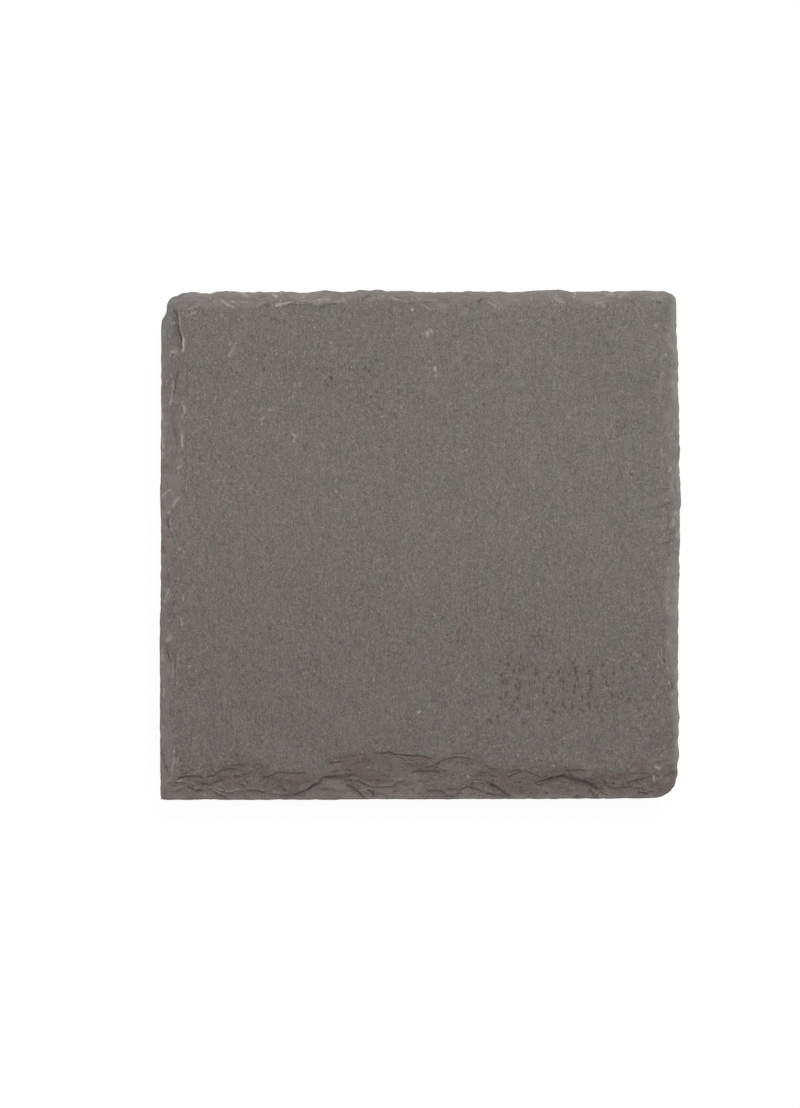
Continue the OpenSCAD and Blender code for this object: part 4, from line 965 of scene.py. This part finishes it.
wall, wall_shade, wall_highlight = [], [], []
inset, foot = np.zeros(len(loop)), rim[:, 2]
for lamina in range(LAMINAE):
    level = np.full_like(travelled, lamina)
    down = (lamina + 1) / LAMINAE
    snapped = np.clip(SNAP_SWING * wobble(travelled, level, SNAP_RUN, 1, seed=91) + 0.5, 0, 1)
    crumbled = 0.5 + CRUMB * rough(travelled, level * CRUMB_ROWS, CRUMB_RUN, seed=92)
    seam = SEAM_SWING * wobble(travelled, level, SEAM_RUN, 1, seed=93) * math.sin(math.pi * down)
    head, set_in_before = foot, inset
    bulge = math.sin(math.pi * min(down, FULLEST_AT))
    inset = UNDERCUT * down + LEDGE * mix(crumbled, snapped, SNAP_SHARE) * bulge
    foot = rim[:, 2] * (1 - down) + seam
    jut = (set_in_before - inset) / LEDGE
    heights = [head - SEAM, foot] if lamina else [foot]
    for height in heights:
        wall.append(np.column_stack([rim[:, :2] + inward * inset[:, None], height]))
        # Painted shade below a ledge where a lamina is set in, and a painted highlight on a ledge where it
        # juts out.
        wall_shade.append(np.clip(-jut, 0, 1) * LEDGE_SHADE * (height is not foot))
        wall_highlight.append(np.clip(jut, 0, 1) * LEDGE_HIGHLIGHT * (height is not foot))

top_count, loop_count = len(X), len(loop)
rings = [loop] + [top_count + k * loop_count + np.arange(loop_count) for k in range(len(wall))]
faces = list(top_faces)
for upper, lower in zip(rings, rings[1:]):
    faces += np.stack([upper, lower, np.roll(lower, -1), np.roll(upper, -1)], 1).tolist()
print("rows of the wall:", len(wall), "points round it:", loop_count)

# %% Underside
UNDER_STEP = 6
UNDER_RELIEF, UNDER_CELL = 0.14, 14
FOOT_CLEAR, FOOT_BLEND = 6, 4

under_across = [*range(0, columns - UNDER_STEP // 2, UNDER_STEP), columns]
under_along = [*range(0, rows - UNDER_STEP // 2, UNDER_STEP), rows]
inner = [(u, v) for v in under_along[1:-1] for u in under_across[1:-1]]
first_inner = top_count + len(wall) * loop_count
on_under = {place: first_inner + k for k, place in enumerate(inner)}
under_x, under_y = place_on_slab(*(np.array(inner) / (columns, rows)).T)
foot_boxes = [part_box(name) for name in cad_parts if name.startswith("foot_")]
foot_middles = [(low + high) / 2 / MM for low, high in foot_boxes]
from_foot = np.min([np.hypot(under_x - p.x, under_y - p.y) for p in foot_middles], 0)
off_foot = np.clip((from_foot - FOOT_CLEAR) / FOOT_BLEND, 0, 1)
under_relief = UNDER_RELIEF * (1 + rough(under_x, under_y, UNDER_CELL, seed=95)) / 2 * off_foot
edge_place = np.column_stack([across, along])[loop]


def edge_points(start, end):
    """The stored points from one corner of an underside cell to the next, all of them along the outline."""
    for axis, far in ((0, columns), (1, rows)):
        if start[axis] == end[axis] and start[axis] in (0, far):
            way = edge_place[:, 1 - axis]
            first, last = start[1 - axis], end[1 - axis]
            on_edge = edge_place[:, axis] == start[axis]
            between = ((way - first) * (way - last) <= 0) & (way != last)
            found = np.flatnonzero(on_edge & between)
            return rings[-1][found[np.argsort(abs(way[found] - first))]].tolist()
    if start in on_under:
        return [on_under[start]]
    return rings[-1][np.flatnonzero((edge_place == start).all(1))].tolist()


for v_a, v_b in zip(under_along, under_along[1:]):
    for u_a, u_b in zip(under_across, under_across[1:]):
        turn = [(u_a, v_a), (u_a, v_b), (u_b, v_b), (u_b, v_a)]
        faces.append(sum((edge_points(a, b) for a, b in zip(turn, turn[1:] + turn[:1])), []))

top = np.column_stack([X, Y, Z])
under = np.column_stack([under_x, under_y, np.clip(under_relief, 0, None)])
coordinates = np.concatenate([top, *wall, under]) * MM + np.array([0, 0, slab_low.z])
slab_mesh = bpy.data.meshes.new("slate_slab_stone")
slab_mesh.from_pydata(coordinates.tolist(), [], faces)
slab_mesh.update()
print("points:", len(coordinates), "faces:", len(faces))

# %% Store the marks and place the slab
SCALE_CLEAR = 0.6
WALL_BRUISE = 0.5
WALL_PURPLE, PURPLE_SWING, PURPLE_CELL, MOST_PURPLE = 0.3, 0.5, 5, 0.8
SHARP_ANGLE = math.radians(40)

wall_count = len(wall) * loop_count
below = coordinates[top_count:] / MM
layered = WALL_PURPLE + PURPLE_SWING * rough(below[:, 0], below[:, 1], PURPLE_CELL, seed=97)
none_under = np.zeros(len(inner))
off_rim = np.min([in_from(name, S, T)[1] for name in SIDES], 0) > SCALE_CLEAR


def all_over(on_top, on_wall=0):
    """A mark for every point of the slab: given on the top, even on the wall, and none underneath."""
    return np.concatenate([on_top, np.full(wall_count, on_wall), none_under])


marks = {
    "fresh": all_over(fresh, 1),
    "cleft": all_over(np.clip(1 - 2 * fresh, 0, 1)),
    "scaly": all_over(np.clip(fresh - 2 * bruise, 0, 1) * off_rim),
    "splintered": all_over(fresh * bruise * off_rim),
    "bruise": all_over(bruise, WALL_BRUISE),
    "purple": np.concatenate([purple, np.clip(layered, 0, MOST_PURPLE)]),
    "olive": all_over(olive),
    "tone": all_over(tone),
    "arris": np.concatenate([arris, *wall_highlight, none_under]),
    "crevice": np.concatenate([crevice, *wall_shade, none_under]),
}
for name, values in marks.items():
    slab_mesh.attributes.new(name, "FLOAT", "POINT").data.foreach_set("value", values.astype(np.float32))
slab_mesh.polygons.foreach_set("use_smooth", np.ones(len(slab_mesh.polygons), bool))
slab_mesh.set_sharp_from_angle(angle=SHARP_ANGLE)
slab = bpy.data.objects.new("slate_slab_stone", slab_mesh)
bpy.context.collection.objects.link(slab)
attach(slab, "root")
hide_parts("slate_slab")
slab_mesh.calc_loop_triangles()
print("slab triangles:", len(slab_mesh.loop_triangles))

# %% [markdown]
# ## Writing shader maths
#
# A material is a tree of nodes, and its arithmetic is easier to read as an expression. This small class
# holds one output of a tree. Adding, subtracting or multiplying two of them adds a Math node, and every
# other kind of node comes from its one method, `add`.

# %% Wire class
class Wire:
    """One output of a node tree, which can be used in arithmetic."""

    def __init__(self, tree, socket=None):
        self.tree = tree
        self.socket = socket

    def add(self, kind, settings=None, inputs=None, output=0):
        """Adds a node, makes its settings, then fills or links its sockets."""
        node = self.tree.nodes.new(kind)
        for name, value in (settings or {}).items():
            setattr(node, name, value)
        for name, value in (inputs or {}).items():
            if isinstance(value, Wire):
                self.tree.links.new(value.socket, node.inputs[name])
            else:
                node.inputs[name].default_value = value
        return Wire(self.tree, node.outputs[output] if len(node.outputs) else None)

    def math(self, operation, *values, clamp=False):
        settings = {"operation": operation, "use_clamp": clamp}
        return self.add("ShaderNodeMath", settings, dict(enumerate(values)))

    def __add__(self, other):
        return self.math("ADD", self, other)

    def __sub__(self, other):
        return self.math("SUBTRACT", self, other)

    def __rsub__(self, other):
        return self.math("SUBTRACT", other, self)

    def __mul__(self, other):
        return self.math("MULTIPLY", self, other)

    def __abs__(self):
        return self.math("ABSOLUTE", self)

    __radd__ = __add__
    __rmul__ = __mul__

    def clamped(self):
        """A value kept between 0 and 1."""
        return self.math("ADD", self, 0, clamp=True)

    def blend(self, share, first, second, how="MIX"):
        """A colour between two colours."""
        inputs = {0: share, 6: first, 7: second}
        return self.add("ShaderNodeMix", {"data_type": "RGBA", "blend_type": how}, inputs, output=2)

    def scaled(self, factor):
        """A colour or vector times a number."""
        return self.add("ShaderNodeVectorMath", {"operation": "SCALE"}, {0: self, "Scale": factor})


def shade(red, green, blue):
    """A colour as the screen shows it, from 0 to 255, in the linear values that a shader takes."""
    channels = [value / 255 for value in (red, green, blue)]
    return (*(c / 12.92 if c <= 0.04045 else ((c + 0.055) / 1.055) ** 2.4 for c in channels), 1)


def new_material(name):
    """An empty material, and the first wire of its tree."""
    material = bpy.data.materials.new(name)
    material.use_nodes = True
    material.node_tree.nodes.clear()
    return material, Wire(material.node_tree)


def in_millimetres(wire):
    """Object coordinates in millimetres."""
    return wire.add("ShaderNodeTexCoord", output="Object").scaled(1 / MM)


def ramp(value, start, end):
    """0 at the start, 1 at the end, and even between them."""
    return ((value - start) * (1 / (end - start))).clamped()


def grains(wire, place, size, detail=0.0):
    """Noise about zero, with grains of a size in millimetres along X, Y and Z."""
    inverse = tuple(1 / side for side in size)
    scaled = wire.add("ShaderNodeVectorMath", {"operation": "MULTIPLY"}, {0: place, 1: inverse})
    return wire.add("ShaderNodeTexNoise", {}, {"Vector": scaled, "Scale": 1.0, "Detail": detail}) - 0.5


def raised(wire, height):
    """A bump from a height in millimetres."""
    return wire.add("ShaderNodeBump", {}, {"Height": height, "Strength": 1.0, "Distance": MM})


def finish_with(wire, surface):
    """Ends a material with one Principled shader."""
    shader = wire.add("ShaderNodeBsdfPrincipled", {}, surface)
    wire.add("ShaderNodeOutputMaterial", {}, {"Surface": shader})


print("a middle grey on the screen, in a shader:", round(shade(128, 128, 128)[0], 3))

# %% [markdown]
# ## Slate
#
# The cleft face is a fine mix of grey-green and grey-pink grains, longer along Y than across, with short
# pale fibres, and most of what stands out of it is pale. The broken stone shows the layers of the slate:
# noise that is squeezed flat along Z, so it draws thin lines wherever a slope or the wall cuts through it.
# The face is darkened towards the front by painted shade, and the break at the back is cooler. The marks of
# the flakes, with their painted shade and highlights, the stains and the soft tones, partly painted light,
# lie on top. All patterns use Object coordinates in millimetres, so they stay with the stone from every
# side.

# %% Slate finish
GREEN_GREY = shade(112, 109.5, 105.6)
PINK_GREY = shade(116, 108, 105.9)
BROKEN_GREY = shade(115.4, 108.4, 105.9)
# The grey of bruised stone, which on the right side also paints light.
BRUISED_AND_LIT_GREY = shade(126.5, 121.8, 118.6)
PURPLE_TINT = (0.945, 0.85, 0.855, 1)
OLIVE_TINT = (0.98, 0.985, 0.86, 1)
BACK_TINT = (0.975, 1.01, 1.01, 1)
# PALE paints pale marks and highlights, and DARK paints shade.
PALE = shade(182, 178, 172)
DARK = shade(58, 49, 47)
STONE_GLOSS = 0.25
DULL, DULL_SWING = 0.84, 0.2
BACK_FROM, BACK_FULL = 30, 50
# Painted shade: where the face starts to darken towards the front, and where it is darkest, along Y in
# millimetres.
FRONT_SHADE_FROM, FRONT_SHADE_FULL = -5, -21.667
PINKER_PER_MM, PINKER, MOTTLED = -0.0025, 0.02, 2.1
FIBRE_FINE, FIBRE_SHADE, FIBRE_MEAN = 10, 0.15, 0.12
SPARK, SPARK_LEAN = 1.2, 6
STROKE_BACK, STROKE_PURPLE = 0.9, 0.8
PALE_AND_HIGHLIGHT_SHOWS, SHADE_SHOWS = 0.7, 0.85
COLOUR_MARKS = ("fresh", "bruise", "scaly", "purple", "olive", "tone", "arris", "crevice")
# How much each pattern counts in the salt of the stone, in its light and in its relief
SALT = {"dust": 0.52, "grain": 0.2, "clump": 0.18, "fibres": 0.15}
SALT_ON = {"broken": 0.7, "face": 0.3, "bruised_and_lit": 0.45}
LIGHT = {"even": 0.98, "streak": 0.3, "cloud": 0.16, "layers": 0.5, "strokes": 0.4, "front": 0.04}
RELIEF = {"dust": 0.04, "grain": 0.05, "clump": 0.04, "layers": 0.07}
RELIEF_ON = {"broken": 0.6, "face": 0.4}


def slate_finish():
    material, wire = new_material("riven_slate")
    place = in_millimetres(wire)
    x, y = (wire.add("ShaderNodeSeparateXYZ", {}, {0: place}, output=k) for k in (0, 1))
    mark = {}
    for name in COLOUR_MARKS:
        mark[name] = wire.add("ShaderNodeAttribute", {"attribute_name": name}, output="Fac")
    face = 1 - mark["fresh"]
    bruised_and_lit = mark["fresh"] * mark["bruise"]
    back = ramp(y, BACK_FROM, BACK_FULL) * mark["fresh"]
    # Painted shade that darkens the face towards the front, standing in for the light falling off.
    front = ramp(y, FRONT_SHADE_FROM, FRONT_SHADE_FULL) * face

    mottle = grains(wire, place, (3.0, 3.6, 3.0), 1)
    dust = grains(wire, place, (0.21, 0.34, 0.21))
    grain = grains(wire, place, (0.44, 0.7, 0.44))
    clump = grains(wire, place, (1.0, 1.5, 1.0))
    cloud = grains(wire, place, (4, 7, 4), 2)
    streak = grains(wire, place, (0.26, 3.2, 0.6), 1) * face
    layers = grains(wire, place, (2.4, 2.0, 0.1), 1) * mark["fresh"]
    strokes = grains(wire, place, (1.2, 0.24, 0.4), 1) * (mark["scaly"] + back * STROKE_BACK)
    thread = grains(wire, place, (0.34, 0.62, 0.34))
    # Each pale fibre has a thin line of painted shadow beside it.
    fibres, shades = ((1 - abs(thread + way) * FIBRE_FINE).clamped() for way in (0, FIBRE_SHADE))

    pinker = (x + y) * PINKER_PER_MM + PINKER
    stone = wire.blend((mottle * MOTTLED + pinker + 0.5).clamped(), GREEN_GREY, PINK_GREY)
    stone = wire.blend(mark["fresh"], stone, wire.blend(mark["bruise"], BROKEN_GREY, BRUISED_AND_LIT_GREY))
    stone = wire.blend((mark["purple"] + strokes * STROKE_PURPLE).clamped(), stone, PURPLE_TINT, "MULTIPLY")
    stone = wire.blend(mark["olive"], stone, OLIVE_TINT, "MULTIPLY")
    stone = wire.blend(back, stone, BACK_TINT, "MULTIPLY")

    salt = dust * SALT["dust"] + dust * dust * (dust * SPARK_LEAN + SPARK) + grain * SALT["grain"]
    salt = salt + clump * SALT["clump"] + (fibres - shades - FIBRE_MEAN) * SALT["fibres"]
    salt = salt * (SALT_ON["broken"] + face * SALT_ON["face"] - bruised_and_lit * SALT_ON["bruised_and_lit"])
    light = LIGHT["even"] + salt + streak * LIGHT["streak"]
    light = light + cloud * LIGHT["cloud"] + layers * LIGHT["layers"]
    stone = stone.scaled(light + mark["tone"] + strokes * LIGHT["strokes"] - front * LIGHT["front"])
    # Pale marks with painted highlights, then painted shade in the crevices, pits and dark strokes.
    stone = wire.blend((mark["arris"] * PALE_AND_HIGHLIGHT_SHOWS).clamped(), stone, PALE)
    stone = wire.blend((mark["crevice"] * SHADE_SHOWS).clamped(), stone, DARK)

    height = dust * RELIEF["dust"] + grain * RELIEF["grain"] + clump * RELIEF["clump"]
    height = height * (RELIEF_ON["broken"] + face * RELIEF_ON["face"]) + layers * RELIEF["layers"]
    finish_with(wire, {
        "Base Color": stone,
        "Roughness": DULL + grain * DULL_SWING,
        "Specular IOR Level": STONE_GLOSS,
        "Normal": raised(wire, height),
    })
    return material


slab_mesh.materials.append(slate_finish())
print("slate nodes:", len(slab_mesh.materials[0].node_tree.nodes))

# %% [markdown]
# ## Flecks, scales and splinters
#
# Flecks of mica stand out of the cleft face, small scales of stone still hang on the front slope, and fine
# splinters lie on the bruised slopes of the other sides. All three repeat over a surface, which is work for
# Geometry Nodes: one tree throws points where an attribute of the mesh is strong, and lays a flat little
# lens on each, long along the slope's contour. The seed is fixed, so every run gives the same stone. The
# result is then made a plain mesh, because instances would be lost on the way out of Blender.

# %% Scatter tree
SCATTER_INPUTS = {
    "Geometry": "NodeSocketGeometry", "Where": "NodeSocketString",
    "Pieces per square metre": "NodeSocketFloat", "Smallest": "NodeSocketFloat",
    "Largest": "NodeSocketFloat", "Length": "NodeSocketFloat", "Thickness": "NodeSocketFloat",
    "Seed": "NodeSocketInt", "Material": "NodeSocketMaterial",
}


def scatter_tree():
    """Lays flat lenses where a named attribute of a mesh is strong."""
    tree = bpy.data.node_groups.new("scatter", "GeometryNodeTree")
    for name, kind in SCATTER_INPUTS.items():
        tree.interface.new_socket(name, in_out="INPUT", socket_type=kind)
    tree.interface.new_socket("Geometry", in_out="OUTPUT", socket_type="NodeSocketGeometry")
    wire = Wire(tree)
    given = {name: wire.add("NodeGroupInput", output=name) for name in SCATTER_INPUTS}

    here = wire.add("GeometryNodeInputNamedAttribute", {"data_type": "FLOAT"}, {"Name": given["Where"]})
    density = given["Pieces per square metre"] * here
    thrown = {"Mesh": given["Geometry"], "Density": density, "Seed": given["Seed"]}
    points = wire.add("GeometryNodeDistributePointsOnFaces", {}, thrown)
    outward = Wire(tree, points.socket.node.outputs["Normal"])
    contour = wire.add("ShaderNodeVectorMath", {"operation": "CROSS_PRODUCT"}, {0: outward, 1: (0, 0, 1)})
    turn = wire.add("FunctionNodeAlignRotationToVector", {"axis": "X"}, {"Vector": contour})
    turn = wire.add("FunctionNodeAlignRotationToVector", {"axis": "Z", "pivot_axis": "X"}, {
        "Rotation": turn,
        "Vector": outward,
    })
    chance = wire.add("FunctionNodeRandomValue", {"data_type": "FLOAT"}, {"Seed": given["Seed"]}, output=1)
    width = given["Smallest"] + (given["Largest"] - given["Smallest"]) * chance * chance
    lengths = {0: width * given["Length"], 1: width, 2: given["Thickness"]}
    scale = wire.add("ShaderNodeCombineXYZ", {}, lengths)
    lens = wire.add("GeometryNodeMeshIcoSphere", {}, {"Radius": 1.0, "Subdivisions": 1})
    laid = {"Points": points, "Instance": lens, "Rotation": turn, "Scale": scale}
    pieces = wire.add("GeometryNodeInstanceOnPoints", {}, laid)
    pieces = wire.add("GeometryNodeRealizeInstances", {}, {"Geometry": pieces})
    pieces = wire.add("GeometryNodeSetMaterial", {}, {"Geometry": pieces, "Material": given["Material"]})
    wire.add("NodeGroupOutput", {}, {"Geometry": pieces})
    return tree


scatter_group = scatter_tree()
print("scatter nodes:", len(scatter_group.nodes))

# %% Scatter flecks, scales and splinters
GREYS_APART, GREYS_DULL = 3, 0.3


def two_greys(name, size, dark, pale, roughness):
    """A finish that changes from place to place between two greys."""
    material, wire = new_material(name)
    place = in_millimetres(wire)
    patch = grains(wire, place, size, 1)
    finish_with(wire, {
        "Base Color": wire.blend((patch * GREYS_APART + 0.5).clamped(), dark, pale),
        "Roughness": roughness + patch * GREYS_DULL,
        "Specular IOR Level": STONE_GLOSS,
    })
    return material


def scattered(name, settings):
    """A piece of loose lenses over the slab, as a plain mesh."""
    piece = bpy.data.objects.new(name, slab_mesh.copy())
    bpy.context.collection.objects.link(piece)
    scatter = piece.modifiers.new("scatter", "NODES")
    scatter.node_group = scatter_group
    for socket in scatter_group.interface.items_tree:
        if socket.name in settings:
            scatter[socket.identifier] = settings[socket.name]
    evaluated = piece.evaluated_get(bpy.context.evaluated_depsgraph_get())
    piece_mesh = bpy.data.meshes.new_from_object(evaluated)
    piece.modifiers.remove(scatter)
    piece.data = piece_mesh
    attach(piece, "root")
    print(name, "faces:", len(piece_mesh.polygons))


scattered("slate_flecks", {
    "Where": "cleft", "Pieces per square metre": 14000, "Seed": 11,
    "Smallest": 0.05 * MM, "Largest": 0.13 * MM, "Length": 1.3, "Thickness": 0.02 * MM,
    "Material": two_greys("pale_mica", (1.1, 1.1, 1.1), shade(130, 127, 123), shade(168, 164, 159), 0.5),
})
scattered("slate_scales", {
    "Where": "scaly", "Pieces per square metre": 1400000, "Seed": 12,
    "Smallest": 0.05 * MM, "Largest": 0.22 * MM, "Length": 2.6, "Thickness": 0.045 * MM,
    "Material": two_greys("loose_scales", (0.7, 0.5, 0.7), shade(82, 74, 72), shade(134, 126, 122), 0.8),
})
scattered("slate_splinters", {
    "Where": "splintered", "Pieces per square metre": 900000, "Seed": 13,
    "Smallest": 0.03 * MM, "Largest": 0.12 * MM, "Length": 4, "Thickness": 0.03 * MM,
    "Material": two_greys("pale_splinters", (0.6, 0.6, 0.6), shade(94, 88, 86), shade(168, 163, 158), 0.8),
})

# %% [markdown]
# ## Rubber feet and adhesive
#
# The feet are moulded rubber, and their solids already have the true shape, so they only need a finish: a
# dull black with the fine tooth of the mould, greyed by dust. The adhesive above each is a thin disc of
# yellowish foam tape. A CAD node takes a finish through the material slots of its object.

# %% Rubber and adhesive finishes
RUBBER = shade(33, 33, 34)
RUBBER_DUST = shade(74, 72, 70)
TAPE = shade(214, 205, 181)
TAPE_DARK = shade(178, 166, 140)
TOOTH_HEIGHT, DUST_HEIGHT, CELL_HEIGHT = 0.03, 0.02, 0.05
RUBBER_GLOSS, RUBBER_DULL, RUBBER_SWING = 0.4, 0.62, 0.5
DUST_SPREAD, DUST_SHARE = 2.6, 0.1
TAPE_DULL, TAPE_SWING = 0.5, 0.3
TAPE_SPREAD, TAPE_SHARE = 2, 0.4


def rubber_finish():
    material, wire = new_material("moulded_rubber")
    place = in_millimetres(wire)
    tooth = grains(wire, place, (0.16, 0.16, 0.16), 1)
    dust = grains(wire, place, (1.6, 1.6, 1.2), 4)
    finish_with(wire, {
        "Base Color": wire.blend((dust * DUST_SPREAD + DUST_SHARE).clamped(), RUBBER, RUBBER_DUST),
        "Roughness": RUBBER_DULL + dust * RUBBER_SWING,
        "Specular IOR Level": RUBBER_GLOSS,
        "Normal": raised(wire, tooth * TOOTH_HEIGHT + dust * DUST_HEIGHT),
    })
    return material


def tape_finish():
    material, wire = new_material("foam_tape")
    place = in_millimetres(wire)
    cells = grains(wire, place, (0.22, 0.22, 0.12), 2)
    finish_with(wire, {
        "Base Color": wire.blend((cells * TAPE_SPREAD + TAPE_SHARE).clamped(), TAPE, TAPE_DARK),
        "Roughness": TAPE_DULL + cells * TAPE_SWING,
        "Normal": raised(wire, cells * CELL_HEIGHT),
    })
    return material


finish_of = {"foot_": rubber_finish(), "adhesive_": tape_finish()}
finished = 0
for name, node_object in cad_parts.items():
    for start, material in finish_of.items():
        if name.startswith(start):
            for slot in node_object.material_slots:
                slot.material = material
            finished += len(node_object.material_slots)
print("finished nodes:", finished)

# %% [markdown]
# ## Floor and light
#
# The photograph has a plain white ground and soft light that comes mostly from behind the slab, so the back
# edge is the lightest and the front flakes are the darkest. One large lamp behind and above gives that, and
# an even white world fills the rest. The floor is white to the camera, but keeps part of the slab's shadow.

# %% Floor
FLOOR_HALF = 3.0
SHADOW_SHARE = 0.12
WHITE = 1.06
PAPER = (0.9, 0.9, 0.9, 1)

floor_mesh = bpy.data.meshes.new("floor")
around = [(-1, -1), (1, -1), (1, 1), (-1, 1)]
floor_mesh.from_pydata([(x * FLOOR_HALF, y * FLOOR_HALF, 0) for x, y in around], [], [(0, 1, 2, 3)])
floor = bpy.data.objects.new("floor", floor_mesh)
bpy.context.collection.objects.link(floor)


def seen_directly(wire):
    """1 for rays from the camera, and for what shows in a reflection or through glass."""
    kinds = ("Camera", "Glossy", "Transmission")
    seen = [wire.add("ShaderNodeLightPath", output=f"Is {kind} Ray") for kind in kinds]
    return (seen[0] + seen[1] + seen[2]).clamped()


def floor_finish():
    material, wire = new_material("white_floor")
    paper = wire.add("ShaderNodeBsdfDiffuse", {}, {"Color": PAPER})
    white = wire.add("ShaderNodeEmission", {}, {"Color": (1, 1, 1, 1), "Strength": WHITE})
    share = seen_directly(wire) * (1 - SHADOW_SHARE)
    surface = wire.add("ShaderNodeMixShader", {}, {0: share, 1: paper, 2: white})
    wire.add("ShaderNodeOutputMaterial", {}, {"Surface": surface})
    return material


floor_mesh.materials.append(floor_finish())
print("floor, m:", 2 * FLOOR_HALF)

# %% World and lamp
FILL = 0.55
KEY = 0.45
KEY_AWAY = 0.5
KEY_UP = math.radians(47)
KEY_TURN = math.radians(18)
KEY_SIDE = 0.3

world = bpy.data.worlds.new("world")
world.use_nodes = True
world.node_tree.nodes.clear()
wire = Wire(world.node_tree)
level = FILL + seen_directly(wire) * (1 - FILL)
sky = wire.add("ShaderNodeBackground", {}, {"Color": (1, 1, 1, 1), "Strength": level})
wire.add("ShaderNodeOutputWorld", {}, {"Surface": sky})
bpy.context.scene.world = world

lamp_data = bpy.data.lights.new("key_lamp", "AREA")
lamp_data.size = KEY_SIDE
lamp_data.energy = KEY * math.pi**2 * KEY_AWAY**2 / math.sin(KEY_UP)
lamp = bpy.data.objects.new("key_lamp", lamp_data)
bpy.context.collection.objects.link(lamp)
lamp.location = (
    KEY_AWAY * math.cos(KEY_UP) * math.sin(KEY_TURN),
    KEY_AWAY * math.cos(KEY_UP) * math.cos(KEY_TURN),
    KEY_AWAY * math.sin(KEY_UP) + slab_high.z,
)
lamp.rotation_euler = (math.pi / 2 - KEY_UP, 0, math.pi - KEY_TURN)
print("lamp, W:", round(lamp_data.energy, 2))

# %% [markdown]
# ## View
#
# The render shows colours through Blender's Standard view transform. The stone must not outgrow its
# solid.

# %% Finish
bpy.context.scene.view_settings.view_transform = "Standard"
